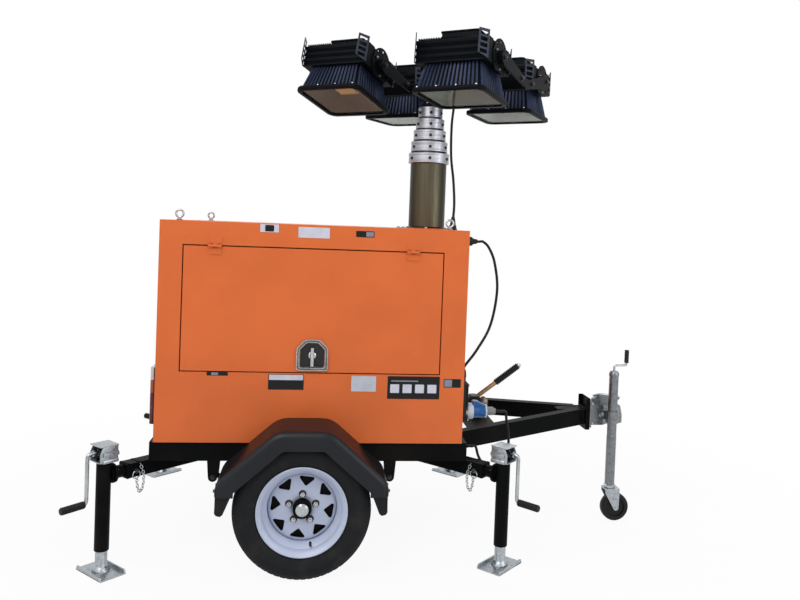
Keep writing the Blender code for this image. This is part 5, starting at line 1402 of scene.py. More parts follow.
@dataclass
class Mudguard(Part):
    """A pressed mudguard with a rolled skirt and rubber flaps.

    Fields: its name and side, height of its top, half of its flat and whole length, heights of its
    lower bends and ends, inner and outer distance from the middle, sheet, skirt depth, radii of its
    edge and of its upper bends, and the height of the foot of the plate behind it.
    """

    name: str
    side: int
    top: float = 0.612
    half_flat: float = 0.110
    half_length: float = 0.346
    corner_z: float = 0.405
    end_z: float = 0.352
    inner_y: float = 0.5503
    outer_y: float = 0.800
    sheet: float = 0.004
    skirt: float = 0.075
    edge: float = 0.028
    bend: float = 0.100
    foot: float = 0.5053

    def __post_init__(self) -> None:
        """Sets the ending of the names."""
        self.ending = f"_{self.name}"

    def path(self) -> list[tuple[Vector, Vector]]:
        """The side outline.

        Returns:
            Its points, each with the way in.
        """
        corners = [(self.half_length, self.end_z), (self.half_length, self.corner_z),
                   (self.half_flat, self.top), (-self.half_flat, self.top),
                   (-self.half_length, self.corner_z), (-self.half_length, self.end_z)]
        points = [(Vector(corners[0]), Vector((-1, 0)))]
        for before, corner, after in zip(corners, corners[1:], corners[2:]):
            here = Vector(corner)
            arriving, leaving = (here - Vector(before)).normalized(), (Vector(after) - here).normalized()
            turn = math.acos(max(-1.0, min(1.0, arriving.dot(leaving))))
            radius = self.bend if abs(corner[0]) < self.half_length else self.skirt * 1.08
            first = here - arriving * radius * math.tan(turn / 2)
            centre = first + Vector((-arriving.y, arriving.x)) * radius
            start = (first - centre).normalized()
            for angle in (turn * step / 8 for step in range(9)):
                out = Vector((start.x * math.cos(angle) - start.y * math.sin(angle),
                              start.x * math.sin(angle) + start.y * math.cos(angle)))
                points.append((centre + out * radius, -out))
        return [*points, (Vector(corners[-1]), Vector((1, 0)))]

    def shell(self) -> Form:
        """The pressed sheet and the plate behind it.

        Returns:
            The form.
        """
        outer, edge, sheet = self.outer_y, self.edge, self.sheet
        turns = [math.radians(90 * step / 6) for step in range(7)]
        bend = [(outer - edge + edge * math.sin(t), edge - edge * math.cos(t)) for t in turns]
        under = [(outer - edge + (edge - sheet) * math.sin(t), edge - (edge - sheet) * math.cos(t))
                 for t in reversed(turns)]
        lip = [(outer, self.skirt - 0.002), (outer - 0.001, self.skirt), (outer - 0.006, self.skirt),
               (outer - 0.007, self.skirt - 0.002), (outer - sheet, self.skirt - 0.004)]
        section = [(self.inner_y, 0.0), *bend, *lip, *under, (self.inner_y, sheet)]
        rings = [[(point.x + way.x * deep, self.side * y, point.y + way.y * deep) for y, deep in section]
                 for point, way in self.path()]
        plate = [(p.x + n.x * sheet / 2, p.y + n.y * sheet / 2) for p, n in self.path()]
        above = [(x, z) for x, z in plate if z > self.foot]
        slope = (self.top - self.corner_z) / (self.half_length - self.half_flat)
        reach = self.half_flat + (self.top - self.foot) / slope - sheet
        return Form().loft(rings).prism([(reach, self.foot), *above, (-reach, self.foot)], "Y",
                                        self.side * self.inner_y, self.side * (self.inner_y + sheet))

    def build(self) -> None:
        """Adds the mudguard's pieces."""
        self.add("mudguard_shell", self.shell(), Finish.GUARD, "mudguard", "black_paint")
        flaps = Form()
        spots = []
        low, high = self.inner_y + 0.030, self.outer_y - 0.006
        middle = (low + high) / 2
        reach = self.half_length - 0.007
        cheek = mm((0, 392), (3, 290), (-4, 280), (-20, 276), (-30, 284), (-70, 382))
        for end in (-1, 1):
            x = end * (self.half_length - self.sheet - 0.004)
            flap = rounded(high - low, 0.088, 0.014, centre=(self.side * middle, 0.340))
            flaps.prism(flap, "X", x - 0.003, x + 0.003)
            flaps.prism([(end * (reach + a), b) for a, b in cheek], "Y", self.side * (self.outer_y - 0.013),
                        self.side * (self.outer_y - 0.0075))
            spots += [((end * self.half_length, self.side * y, 0.370), (end, 0.0, 0.0))
                      for y in (low + 0.03, middle, high - 0.03)]
        self.add("mud_flaps", flaps.bevelled(0.001), Finish.FLAP)
        self.add("flap_bolts", self.shop.bolt_form(spots, 0.006, 0.004), Finish.BOLT)


@dataclass
class CornerJack(Part):
    """A swing-up corner jack with its crank, pin and leg.

    Fields: name, place along the trailer, side, heading of its arm in degrees, the tube's radius and
    top, the head's bottom, top and side, the crank's reach and drop, and the grip's length.
    """

    name: str
    x: float
    side: int
    heading: float
    tube: float = 0.029
    tube_top: float = 0.462
    head_low: float = 0.453
    head_top: float = 0.522
    head_side: float = 0.078
    reach: float = 0.078
    drop: float = 0.198
    grip: float = 0.100

    def __post_init__(self) -> None:
        """Sets the body and the jack's own frame, -X to its arm."""
        self.body, self.ending = f"jack_{self.name}", f"_{self.name}"
        self.place = at(self.x, self.side * JACK_Y, 0) @ spin(self.heading)

    def head(self, shaft: float) -> Form:
        """The folded gear case on top of the tube.

        Args:
            shaft: Height of the crank's shaft.

        Returns:
            The form.
        """
        half, sheet, low, top = self.head_side / 2, 0.004, self.head_low, self.head_top
        plan = rounded(self.head_side + 0.004, self.head_side + 0.003, 0.003, 3, (-0.001, 0.0))
        head = Form().prism(plan, "Z", top - sheet, top)
        head.prism([(-half, low), (half, low), (half, low + sheet), (-half + sheet, low + sheet),
                    (-half + sheet, top - sheet), (-half, top - sheet)], "Y", -half, half)
        cheek = [(-half, low), (half, low), (half, shaft), (half - 0.012, top - sheet), (-half, top - sheet)]
        for way in (-1, 1):
            far = way * half
            head.prism(cheek, "Y", way * (half - sheet), far)
            for start, end, proud in ((low - 0.003, low + 0.014, 0.004), (low + 0.024, low + 0.044, 0.007)):
                fold = [(far, start), (far + way * proud, start + 0.003), (far + way * proud, end - 0.005),
                        (far, end)]
                head.prism(fold, "X", -half - 0.001, half - 0.012)
        return head.rod(0.0325, 0.006, 40, at(0, 0, low - 0.006)).bevelled(0.0012)

    def leg(self) -> Form:
        """The leg with its foot plate.

        Returns:
            The form.
        """
        leg = Form().turned(mm((0, 4), (36, 6), (35, 10), (30, 20), (25.5, 26), (23.6, 29), (23.6, 355),
                               (24.5, 356), (24.5, 385), (0, 385)), 48)
        leg.prism(rounded(0.112, 0.184, 0.006, 3), "Z", 0.0, 0.006)
        for x in (-0.056, 0.050):
            leg.prism(mm((-92, 0), (92, 0), (85, 18), (-85, 18)), "X", x, x + 0.006)
        return leg.bevelled(0.001)

    def build(self) -> None:
        """Adds the jack's pieces."""
        top, half = self.tube_top, self.head_side / 2
        tube = Form().turned([(0.025, 0.090), (0.0275, 0.0895), (self.tube, 0.091), (self.tube, top),
                              (0.0, top), (0.0, top - 0.02), (0.025, top - 0.02)], 48)
        tube.rod(0.026, 0.058, 40, facing((-0.0845, 0, ARM_Z), (1, 0, 0)))
        tube.turned(mm((24, 0), (40, 0), (40, 11), (24, 11)), 48, facing((-0.044, 0, ARM_Z), (1, 0, 0)))
        self.add("jack_tube", tube.bevelled(0.0008), Finish.BLACK, "jack", "black_paint")
        shaft = (self.head_low + self.head_top) / 2 + 0.004
        self.add("jack_head", self.head(shaft), Finish.ZINC, slot="zinc")
        gear = mm((0, 0), (22, 0), (24, 4), (24, 12), (14, 16), (14, 48), (0, 48))
        self.add("jack_gear", Form().turned(gear, 32, facing((-0.022, 0, shaft), (1, 0, 0))), Finish.BOLT)
        end, bottom = self.reach - 0.006, shaft - self.drop
        route = bent([(-half + 0.004, 0, shaft), (end, 0, shaft), (end, 0, bottom),
                      (end + 0.030, 0, bottom - 0.001)], 0.018)
        crank = Form().swept(route, 0.008, 16)
        crank.rod(0.0125, 0.014, 24, facing((half - 0.004, 0, shaft), (1, 0, 0)))
        self.add("jack_crank", crank, Finish.PLATED)
        grip = self.shop.grip_form((end + 0.008, 0, bottom), (self.reach + self.grip, 0, bottom - 0.003),
                                   0.0152, 16)
        self.add("jack_grip", grip, Finish.GRIP)
        spots = [((-0.044, y, ARM_Z + z), (-1.0, 0.0, 0.0)) for y, z in around(0.0325, 6, 30)]
        self.add("jack_flange_bolts", self.shop.bolt_form(spots, 0.0038, 0.003), Finish.PLATED)
        self.add("jack_foot", self.leg(), Finish.ZINC, "jack_leg", "zinc", f"leg_{self.name}")
        self.build_chain()

    def build_chain(self) -> None:
        """Adds the locking pin's sleeve, ring and chain, which stay on the arm."""
        sleeve = Form()
        for start in (-0.150, -0.100):
            sleeve.prism(rounded(0.064, 0.064, 0.006), "X", start, start + 0.010)
        self.add("arm_sleeve", sleeve.moved(at(0, 0, ARM_Z)).bevelled(0.0008), Finish.BLACK, body="root")
        way = self.side if abs(self.heading) < 90 else -self.side
        y, z = way * 0.033, ARM_Z
        pin = Form().turned(mm((0, 0), (7.5, 0), (7.5, 12), (10, 13), (10, 18), (0, 18)), 20,
                            facing((-0.118, y, z), (0, way, 0)))
        ring = arc((-0.118, z - 0.014), 0.017, 0, 360, 20)
        pin.swept([(a, y + way * 0.016, b) for a, b in ring], 0.002, 8)
        self.add("lock_pin", pin, Finish.PLATED, body="root")
        out = y + way * 0.018
        loop = [(-0.118, out, z - 0.028), (-0.124, out, z - 0.070), (-0.136, out, z - 0.088),
                (-0.148, out, z - 0.066), (-0.150, out, z - 0.020), (-0.146, y, z + 0.020)]
        links = self.shop.chain.run(route_mesh(curved(loop, 6)), pitch=0.011, wire=0.0017, length=0.0155,
                                    breadth=0.0105)
        self.add("pin_chain", Form().absorbed(links), Finish.PLATED, body="root")


@dataclass
class Mast(Part):
    """The telescopic mast.

    Fields: number of sections, first radius and the step between sections, heights of the first
    collar, a collar and their pitch, the floor that it stands on and how far a collar stands out.
    """

    sections: int = 6
    radius: float = 0.090
    step: float = 0.010
    first_collar: float = 1.760
    collar: float = 0.052
    pitch: float = 0.057
    floor: float = 0.5086
    proud: float = 0.0115

    def section(self, index: int) -> Form:
        """One tube, without its collar.

        Args:
            index: Its number from the outermost.

        Returns:
            The form.
        """
        radius = self.radius - self.step * index
        bottom = self.floor + 0.012 * index
        top = self.first_collar + self.pitch * index + (0.004 if index < self.sections - 1 else 0.0)
        return Form().turned([(radius - 0.004, bottom), (radius, bottom), (radius, top),
                              (radius - 0.004, top)], 96, at(MAST_X, 0, 0))

    def collar_form(self, index: int) -> Form:
        """One collar with its chamfers and its wiper ring.

        Args:
            index: Its section's number from the outermost.

        Returns:
            The form.
        """
        radius = self.radius - self.step * index
        low = self.first_collar + self.pitch * index
        high, proud, inner = low + self.collar, radius + self.proud, radius - self.step + 0.0004
        profile = [(inner, low + 0.004), (radius - 0.002, low - 0.001), (radius + 0.0005, low - 0.001),
                   (proud - 0.003, low), (proud, low + 0.003), (proud, low + 0.008),
                   (proud - 0.0012, low + 0.0092), (proud - 0.0012, high - 0.0132), (proud, high - 0.012),
                   (proud, high - 0.004), (proud - 0.003, high - 0.0005), (inner + 0.003, high),
                   (inner, high - 0.0015)]
        return Form().turned(profile, 96, at(MAST_X, 0, 0))

    def build(self) -> None:
        """Adds the mast's pieces."""
        for index in range(self.sections):
            last = index == self.sections - 1
            body = "mast_head" if last else f"mast_stage_{index + 1}" if index else "root"
            form = self.section(index)
            if index == 0:
                base = [(0.088, self.floor), (0.112, self.floor), (0.112, self.floor + 0.012),
                        (0.088, self.floor + 0.012)]
                form.turned(base, 96, at(MAST_X - 0.02, 0, 0) @ Matrix.Scale(0.75, 4, (1, 0, 0)))
            node = f"mast_section_{index + 1}" if index else "mast_base"
            self.add(f"mast_tube_{index + 1}", form, Finish.MAST, node, "mast_tube", body)
            if last:
                continue
            self.add(f"mast_collar_{index + 1}", self.collar_form(index), Finish.COLLAR, body=body)
            radius = self.radius - self.step * index + self.proud - 0.001
            z = self.first_collar + self.pitch * index + self.collar * 0.45
            spots = [((MAST_X + x * radius, y * radius, z), (x, y, 0.0)) for x, y in around(1.0, 6, -95)]
            self.add(f"collar_bolts_{index + 1}", self.shop.bolt_form(spots, 0.0062, 0.0035, 1.25, 16),
                     Finish.BOLT, body=body)
        seal = mm((90.5, 1435.2), (106, 1435.2), (104, 1441), (94, 1446), (90.5, 1446))
        self.add("mast_roof_seal", Form().turned(seal, 96, at(MAST_X, 0, 0)), Finish.BLACK_PLASTIC)


@dataclass
class Floodlight(Part):
    """One LED floodlight, in its own frame with the tilt axis along X.

    Fields: name, place along and across the crossbar, tilt in degrees, the rim's length, width and
    bottom, the crown's length and width, and the heat sink's bottom, top, length and width.
    """

    name: str
    along: int
    across: int
    tilt: float
    rim_length: float = 0.350
    rim_width: float = 0.340
    rim_low: float = -0.180
    crown_length: float = 0.262
    crown_width: float = 0.236
    sink_low: float = -0.046
    sink_top: float = 0.056
    sink_length: float = 0.344
    sink_width: float = 0.280
    disc_x: float = 0.1775

    def __post_init__(self) -> None:
        """Sets the body and the lamp's own frame, with the tilt axis along X."""
        self.body, self.ending = f"floodlight_{self.name}", f"_{self.name}"
        axis = HEAD @ at(self.along * LAMP_OFFSET, self.across * LAMP_OFFSET, LAMP_AXIS_Z)
        self.place = axis @ spin(180 if self.across > 0 else 0) @ spin(-self.tilt, "X")

    def shell(self) -> Form:
        """The rim, the open skirt and the heat sink with its ridges.

        Returns:
            The form.
        """
        low = self.rim_low
        steps = ((0.004, low), (0.0, low + 0.004), (0.0, low + 0.016), (0.004, low + 0.020),
                 (0.040, low + 0.020), (0.040, low))
        rim = [level(rounded(self.rim_length - grow, self.rim_width - grow, 0.045 - grow / 4), z)
               for grow, z in steps]
        foot = (self.rim_length - 0.042, self.rim_width - 0.042)
        crown = (self.crown_length, self.crown_width)
        steps = ((foot, 0.0, low + 0.016), (crown, 0.0, self.sink_low + 0.002),
                 (crown, 0.010, self.sink_low + 0.002), (foot, 0.010, low + 0.016))
        skirt = [level(rounded(long - thin, wide - thin, 0.020, 3), z) for (long, wide), thin, z in steps]
        half = self.sink_width / 2
        edge = [(half, self.sink_low)]
        for z in (-0.038, -0.008, 0.022):
            ridges = mm((0, 0), (6, 2), (6, 6), (1, 8), (6, 10), (6, 14), (0, 16))
            edge += [(half - a, z + b) for a, b in ridges]
        edge.append((half, self.sink_top))
        outline = edge + [(-y, z) for y, z in reversed(edge)]
        form = Form().loft(rim, True).loft(skirt, True)
        return form.prism(outline, "X", -self.sink_length / 2, self.sink_length / 2).bevelled(0.001, 1, 50)

    def ribs(self) -> Form:
        """Ribs on the four sloping faces.

        Returns:
            The form.
        """
        form = Form()
        foot = (self.rim_length / 2 - 0.021, self.rim_width / 2 - 0.021)
        crown = (self.crown_length / 2, self.crown_width / 2)
        for quarter in range(4):
            a, b = (0, 1) if quarter % 2 == 0 else (1, 0)
            ribs = self.shop.ribs.run(count=15 if a == 0 else 13, foot_half=foot[a] - 0.016,
                                      crown_half=crown[a] - 0.012, foot_out=foot[b] + 0.001,
                                      crown_out=crown[b] + 0.001, foot_height=self.rim_low + 0.018,
                                      crown_height=self.sink_low, rib_width=0.0085, rib_depth=0.0085)
            form.absorbed(ribs, spin(90 * quarter))
        return form

    def ladders(self) -> Form:
        """The upright brackets with four windows each, splayed from the sink's corners.

        Returns:
            The form.
        """
        ladders = Form()
        for end in (-1, 1):
            for turn in (0, 180):
                tool = Form()
                for step in range(4):
                    window = rounded(0.042, 0.017, 0.002, 2, (-0.029, 0.026 * step - 0.018))
                    tool.prism(window, "X", -0.01, 0.01)
                outline = mm((-58, -28), (0, -42), (0, 82), (-58, 78))
                plate = Form().prism(outline, "X", -0.002, 0.002).cut(tool)
                plate.moved(at(end * 0.175, -0.136, 0) @ spin(-27 * end))
                ladders.absorbed(plate.data("ladder"), spin(turn))
        return ladders

    def discs(self) -> Form:
        """The pivot discs with their holes and hubs.

        Returns:
            The form.
        """
        discs = Form()
        for side in (-1, 1):
            holes = Form()
            for centre in around(0.068, 7, -30, 40):
                holes.prism(arc(centre, 0.0075, 0, 345, 11), "X", -1, 1)
            near, far = sorted((side * (self.disc_x - 0.0045), side * self.disc_x))
            disc = Form().prism(arc((0.0, 0.0), 0.083, -52, 232, 28), "X", near, far)
            discs.absorbed(disc.cut(holes).data("disc"))
            discs.rod(0.030, 0.015, 32, facing((side * self.disc_x, 0, 0), (side, 0, 0)))
        return discs

    def build(self) -> None:
        """Adds the floodlight's pieces."""
        self.add("lamp_shell", self.shell(), Finish.LAMP, "lamp", "lamp_body")
        # The ribs' blue colour is a painted sky reflection.
        self.add("lamp_ribs", self.ribs(), Finish.RIB_PAINTED_SKY_REFLECTION)
        fins = Form()
        for y in (-0.098, 0.098):
            row = self.shop.fins.run(count=28, pitch=0.012, thickness=0.0035, depth=0.074, height=0.012)
            fins.absorbed(row, at(0, y, self.sink_top - 0.001))
        self.add("lamp_fins", fins, Finish.LAMP)
        driver = Form().prism(rounded(0.180, 0.118, 0.008, 3), "Z", self.sink_top - 0.001, 0.112)
        driver.prism(rounded(0.188, 0.126, 0.010, 3), "Z", 0.112, 0.1195)
        driver.prism(rounded(0.150, 0.090, 0.006, 3), "Z", 0.119, 0.125)
        self.add("lamp_driver", driver.bevelled(0.0015), Finish.LAMP)
        self.add("lamp_discs", self.discs(), Finish.LAMP)
        self.add("lamp_ladders", self.ladders(), Finish.BRACKET)
        spots = []
        for side in (-1, 1):
            for y, z in around(0.052, 2, 25, 130) + around(0.052, 1, 270):
                spots.append(((side * self.disc_x, y, z), (side, 0.0, 0.0)))
        spots += [((x, y, self.rim_low + 0.020), UP) for x in (-0.140, -0.047, 0.047, 0.140)
                  for y in (-0.1605, 0.1605)]
        self.add("lamp_screws", self.shop.bolt_form(spots, 0.0042, 0.0035, 1.3, 10), Finish.PLATED)
        pane = self.rim_low + 0.009
        steps = ((0.292, 0.282, 0.018, pane + 0.002), (0.104, 0.096, 0.006, -0.112),
                 (0.098, 0.090, 0.006, -0.108), (0.288, 0.278, 0.018, pane + 0.006))
        bowl = [level(rounded(length, width, radius, 2), z) for length, width, radius, z in steps]
        self.add("reflector", Form().loft(bowl, True), Finish.REFLECTOR)
        self.add("led_board", Form().block((-0.050, -0.046, -0.116), (0.050, 0.046, -0.111)), Finish.LED)
        self.shop.dress(Finish.GLASS, f"lamp_glass_{self.name}")


@dataclass(frozen=True)
class Label:
    """A blank label plate on the right side: its first and last x, lowest and highest z, and finish."""

    first: float
    last: float
    low: float
    high: float
    finish: Look

    def form(self, face: float) -> Form:
        """The plate on the box's right side.

        Args:
            face: Distance of the side's face from the middle.

        Returns:
            The form.
        """
        centre = ((self.first + self.last) / 2, (self.low + self.high) / 2)
        outline = rounded(self.last - self.first, self.high - self.low, 0.0022, 3, centre)
        return Form().prism(outline, "Y", -face - 0.0009, -face - 0.0002)


@dataclass
class Latch(Part):
    """A door latch: a bezel with two bright rings, a dish and a T-handle.

    Fields: the door's name and side, the distance of its face from the middle, and the plate's middle,
    foot, width and height.
    """

    name: str
    side: int
    face: float = 0.560
    x: float = 0.019
    foot: float = 0.818
    width: float = 0.130
    height: float = 0.129

    def __post_init__(self) -> None:
        """Sets the body, the ending of the names and the height of the plate's middle."""
        self.body, self.ending = f"door_{self.name}", f"_{self.name}"
        self.middle = self.height * 0.47

    def outline(self, scale: float) -> Outline:
        """The plate's outline with rounded corners.

        Args:
            scale: Its size over the plate's, about its middle.

        Returns:
            The outline.
        """
        half, height, middle = self.width / 2, self.height, self.middle
        corners = [Vector(corner) for corner in ((-half, 0.0), (half, 0.0), (half, height * 0.72),
                                                 (half * 0.45, height), (-half * 0.45, height),
                                                 (-half, height * 0.72))]
        points = []
        for before, corner, after in zip([corners[-1], *corners], corners, [*corners[1:], corners[0]]):
            points += corner_curve(before, corner, after, 0.012, 3)
        return [(self.x + point.x * scale, self.foot + middle + (point.y - middle) * scale)
                for point in points]

    def ring(self, steps: Sequence[tuple[float, float]]) -> Form:
        """A ring along the outline; each step is a scale of it and a height on the door's face."""
        rings = [[(x, self.side * (self.face + y), z) for x, z in self.outline(scale)] for scale, y in steps]
        return Form().loft(rings, True)

    def build(self) -> None:
        """Adds the latch's pieces."""
        face, side, x, z = self.face, self.side, self.x, self.foot + self.middle
        bezel = ((1.015, 0.0003), (1.015, 0.0055), (0.985, 0.0085), (0.845, 0.0085), (0.800, 0.0050),
                 (0.795, -0.0125), (0.780, -0.0125), (0.780, -0.0128), (0.796, -0.0132), (0.797, 0.0003))
        # The bezel's dark chrome is a painted dark reflection.
        self.add("latch_bezel", self.ring(bezel), Finish.LATCH)
        for label, outer, inner, proud in (("edge", 1.025, 0.985, 0.0092), ("lip", 0.865, 0.835, 0.0090)):
            steps = ((outer, 0.006), (outer, proud), (inner, proud), (inner, 0.006))
            self.add(f"latch_{label}", self.ring(steps), Finish.CHROME)
        near, far = sorted((side * (face - 0.0139), side * (face - 0.0128)))
        self.add("latch_dish", Form().prism(self.outline(0.790), "Y", near, far), Finish.BOLT)
        hub = mm((0, 0), (16, 0), (16, 6), (12.2, 8.5), (12.2, 15), (0, 15))
        handle = Form().turned(hub, 32, facing((x, side * (face - 0.0128), z), (0, side, 0)))
        bar = [(x, side * (face + proud), z + rise) for proud, rise in mm((1.2, -44), (1.6, -10), (1.2, 34))]
        self.add("latch_handle", handle.swept(curved(bar, 6), 0.0088, 18), Finish.CHROME)


@dataclass
class GeneratorBox(Part):
    """The orange box with its doors' fittings, labels, lifting eyes and front fittings.

    Fields: ends, half width and top of the box, the lifting eyes' places, the middle of the mast's
    cover plate and the power inlet's place.
    """

    rear: float = -0.627
    front: float = 0.680
    half: float = 0.560
    top: float = 1.435
    eye_places: tuple[float, ...] = (-0.557, 0.600)
    eye_y: float = 0.500
    cover_x: float = 0.548
    inlet: Point = (0.7006, -0.500, 0.636)

    def build_labels(self) -> None:
        """Adds the label plates, the small ones lying on the large ones."""
        white, pale = Finish.WHITE_PLATE, Finish.PALE_PLATE
        grey, black = Finish.GREY_PLATE, Finish.BLACK_PLATE
        plates = [Label(-0.216, -0.139, 1.398, 1.431, white), Label(-0.057, 0.075, 1.380, 1.425, white),
                  Label(0.187, 0.265, 1.391, 1.417, black), Label(-0.417, -0.330, 0.789, 0.804, black),
                  Label(-0.162, -0.013, 0.733, 0.798, black), Label(0.189, 0.295, 0.729, 0.796, pale),
                  Label(0.345, 0.572, 0.699, 0.797, black), Label(0.590, 0.665, 0.751, 0.788, black)]
        insets = [Label(-0.196, -0.159, 1.401, 1.428, black), Label(0.230, 0.262, 1.394, 1.414, grey),
                  Label(-0.398, -0.370, 0.791, 0.802, grey), Label(-0.159, -0.016, 0.774, 0.796, white),
                  Label(0.593, 0.626, 0.754, 0.785, grey)]
        insets += [Label(0.357 + 0.054 * step, 0.396 + 0.054 * step, 0.725, 0.762, white)
                   for step in range(4)]
        insets.append(Label(0.360, 0.478, 0.774, 0.779, grey))
        for index, label in enumerate(plates + insets):
            lift = 0.0006 if index >= len(plates) else 0.0
            self.add(f"label_plate_{index + 1}", label.form(self.half + lift), label.finish)

    def build_roof(self) -> None:
        """Adds the lifting eyes, the mast's cover plate, the cable gland and the roof screws."""
        top = self.top
        wire = [(0.0155 + a, b) for a, b in around(0.0047, 14)]
        foot = mm((0, 0.3), (12, 0.3), (12.5, 1), (12.5, 4.5), (10, 6.2), (5.2, 8), (4.8, 12.5), (0, 12.5))
        for end, x in zip(("rear", "front"), self.eye_places):
            for name, side in SIDES:
                y = side * self.eye_y
                eye = Form().turned(wire, 40, at(x, y, top + 0.028) @ spin(90, "X"))
                eye.turned(foot, 28, at(x, y, top))
                self.add(f"lifting_ring_{end}_{name}", eye, Finish.PLATED, f"lifting_eye_{end}_{name}",
                         "zinc")
        outline = rounded(0.250, 0.250, 0.014, 4, (self.cover_x, 0.0))
        plate = Form().prism(outline, "Z", top + 0.0003, top + 0.0033)
        hole = Form().rod(0.094, 4, 64, at(MAST_X, 0, -1))
        self.add("mast_cover_plate", plate.cut(hole).bevelled(0.0006), Finish.ORANGE)
        spots = [((self.cover_x + 0.112 * a, 0.112 * b, top + 0.0033), UP) for a in (-1, 0, 1)
                 for b in (-1, 1)]
        self.add("roof_screws", self.shop.bolt_form(spots, 0.0062, 0.0042), Finish.PLATED)
        gland = mm((6.4, 0.3), (20, 0.3), (20, 8), (17, 8.5), (17, 20), (14.8, 21.5))
        gland += [(0.0148 - 0.0007 * step - (0.0016 if step % 2 else 0.0), 0.0225 + 0.0046 * step)
                  for step in range(8)]
        gland += mm((8.6, 60), (6.4, 60))
        self.add("roof_gland", Form().turned(gland, 32, at(0.648, -0.300, top)), Finish.BLACK_PLASTIC)

    def build_front(self) -> None:
        """Adds the front face's cable glands, terminal box cover, wing knob and screws."""
        x, y, z = self.front, self.inlet[1], 0.679
        ahead = (1, 0, 0)
        place = facing((x, -0.450, 1.388), ahead)
        socket = Form().turned(mm((17.2, 0.3), (24.5, 0.3), (24.5, 7), (22.5, 8.5), (17.2, 8.5)), 6, place)
        socket.turned(mm((17.2, 10), (20.5, 10), (20.5, 29), (18.5, 32), (17.2, 32)), 28, place)
        socket.turned(mm((6.3, 35.2), (13.5, 35.2), (12, 44), (9.5, 56), (6.3, 56)), 28, place)
        socket.turned(mm((6.3, 0), (10.5, 0), (9.8, 12), (8, 30), (6.3, 30)), 24,
                      facing((0.690, -0.500, 0.7855), UP))
        socket.turned(mm((12.2, 0.2), (16.5, 0.2), (16.5, 8), (12.2, 8)), 6,
                      facing((0.705, -0.450, 0.465), ahead))
        self.add("front_glands", socket.bevelled(0.0006, 1), Finish.BLACK_PLASTIC)
        cover = Form().prism(rounded(0.070, 0.168, 0.005, 3, (y, z)), "X", x + 0.0203, x + 0.0262)
        hole = Form().rod(0.0362, 0.2, 40, facing((x - 0.08, y, self.inlet[2]), ahead))
        self.add("terminal_cover", cover.cut(hole).bevelled(0.001), Finish.BLACK_PLASTIC)
        knob = Form().turned(mm((0, 0.3), (15, 0.3), (15, 12), (9, 20), (0, 20)), 24,
                             facing((x, -0.330, 1.190), ahead))
        knob.prism(rounded(0.012, 0.070, 0.005, 4, (-0.330, 1.190)), "X", x + 0.010, x + 0.026)
        self.add("wing_knob", knob.bevelled(0.0012), Finish.BLACK_PLASTIC)
        spots = [((x + 0.0262, y + 0.028 * a, z + 0.076 * b), ahead) for a in (-1, 1) for b in (-1, 1)]
        spots += [((x + 0.0003, side * 0.518, height), ahead) for side in (-1, 1)
                  for height in (0.56, 0.90, 1.20)]
        self.add("front_screws", self.shop.bolt_form(spots, 0.0046, 0.0032), Finish.PLATED)

    def build_plug(self) -> None:
        """Adds the power inlet with its plug."""
        place = facing(self.inlet, (1, 0, 0))
        flange = Form().turned(mm((0, 0), (30, 0), (34, 11), (35.8, 18), (35.8, 32.5), (33.5, 34.5),
                                  (0, 34.5)), 56, place)
        flange.turned(mm((0, 88), (29.8, 88), (29.8, 94.5), (26, 96.5), (0, 96.5)), 48, place)
        self.add("inlet_flange", flange, Finish.PALE_PLASTIC, "power_inlet", "blue_plastic")
        shell = Form().turned(mm((0, 34.7), (30, 34.7), (30.2, 48), (29.2, 50), (29.2, 84), (30, 86),
                                 (30, 87.8), (0, 87.8)), 48, place)
        lid = raised(mm((731, -8), (790, -10), (789, -1), (770, 6), (756, 15), (740, 17.2), (730, 12)),
                     self.inlet[2] + 0.030)
        shell.absorbed(Form().prism(lid, "Y", -0.52, -0.48).bevelled(0.0045, 3).data("lid"))
        self.add("plug_shell", shell, Finish.BLUE_PLASTIC)
        gland = mm((0, 96.6), (19, 96.6), (18.5, 104), (18.8, 105), (18.8, 123), (15, 129), (12, 136.6),
                   (0, 136.6))
        self.add("plug_gland", Form().turned(gland, 36, place), Finish.GREY_PLASTIC)

    def build_rear(self) -> None:
        """Adds the tail lamps' lenses and the rear screws, and a black sheet inside the louvres that paints
        the shade behind them.
        """
        back = self.rear - 0.0003
        bands = ((0.570, 0.624, Finish.RED_LENS, "stop"), (0.6245, 0.700, Finish.RED_LENS, "red"),
                 (0.7005, 0.756, Finish.AMBER_LENS, "amber"), (0.7565, 0.810, Finish.CLEAR_LENS, "clear"))
        corner = arc((back - 0.0158, 0.0325), 0.012, 90, 180, 6)
        for name, side in SIDES:
            middle = side * 0.470
            base = [(back - 0.012, middle - 0.0448), (back, middle - 0.0448), (back, middle + 0.0448),
                    (back - 0.012, middle + 0.0448)]
            self.add(f"tail_lamp_base_{name}", Form().prism(base, "Z", 0.5702, 0.8098), Finish.BLACK_PLASTIC)
            plan = [(back - 0.0122, middle - 0.0445), (back - 0.0122, middle + 0.0445),
                    *((x, middle + y) for x, y in corner), *((x, middle - y) for x, y in reversed(corner))]
            for low, high, finish, label in bands:
                lens = Form().prism(plan, "Z", low + 0.0003, high - 0.0002).bevelled(0.001, 1)
                main_band = label == "red"
                self.add(f"tail_lens_{label}_{name}", lens, finish, f"tail_lamp_{name}" if main_band else "",
                         "tail_lens" if main_band else "")
        # Painted shade: a black sheet behind the louvres stands in for the shaded inside of the box.
        shade_sheet = Form().block((self.rear + 0.0206, -0.372, 0.690), (self.rear + 0.0226, 0.372, 1.272))
        self.add("louvre_shade_sheet", shade_sheet, Finish.BLACK_PLASTIC)
        spots = [((back, side * 0.516, z), (-1.0, 0.0, 0.0)) for side in (-1, 1) for z in (0.86, 1.12, 1.38)]
        self.add("rear_screws", self.shop.bolt_form(spots, 0.006, 0.004), Finish.PLATED)

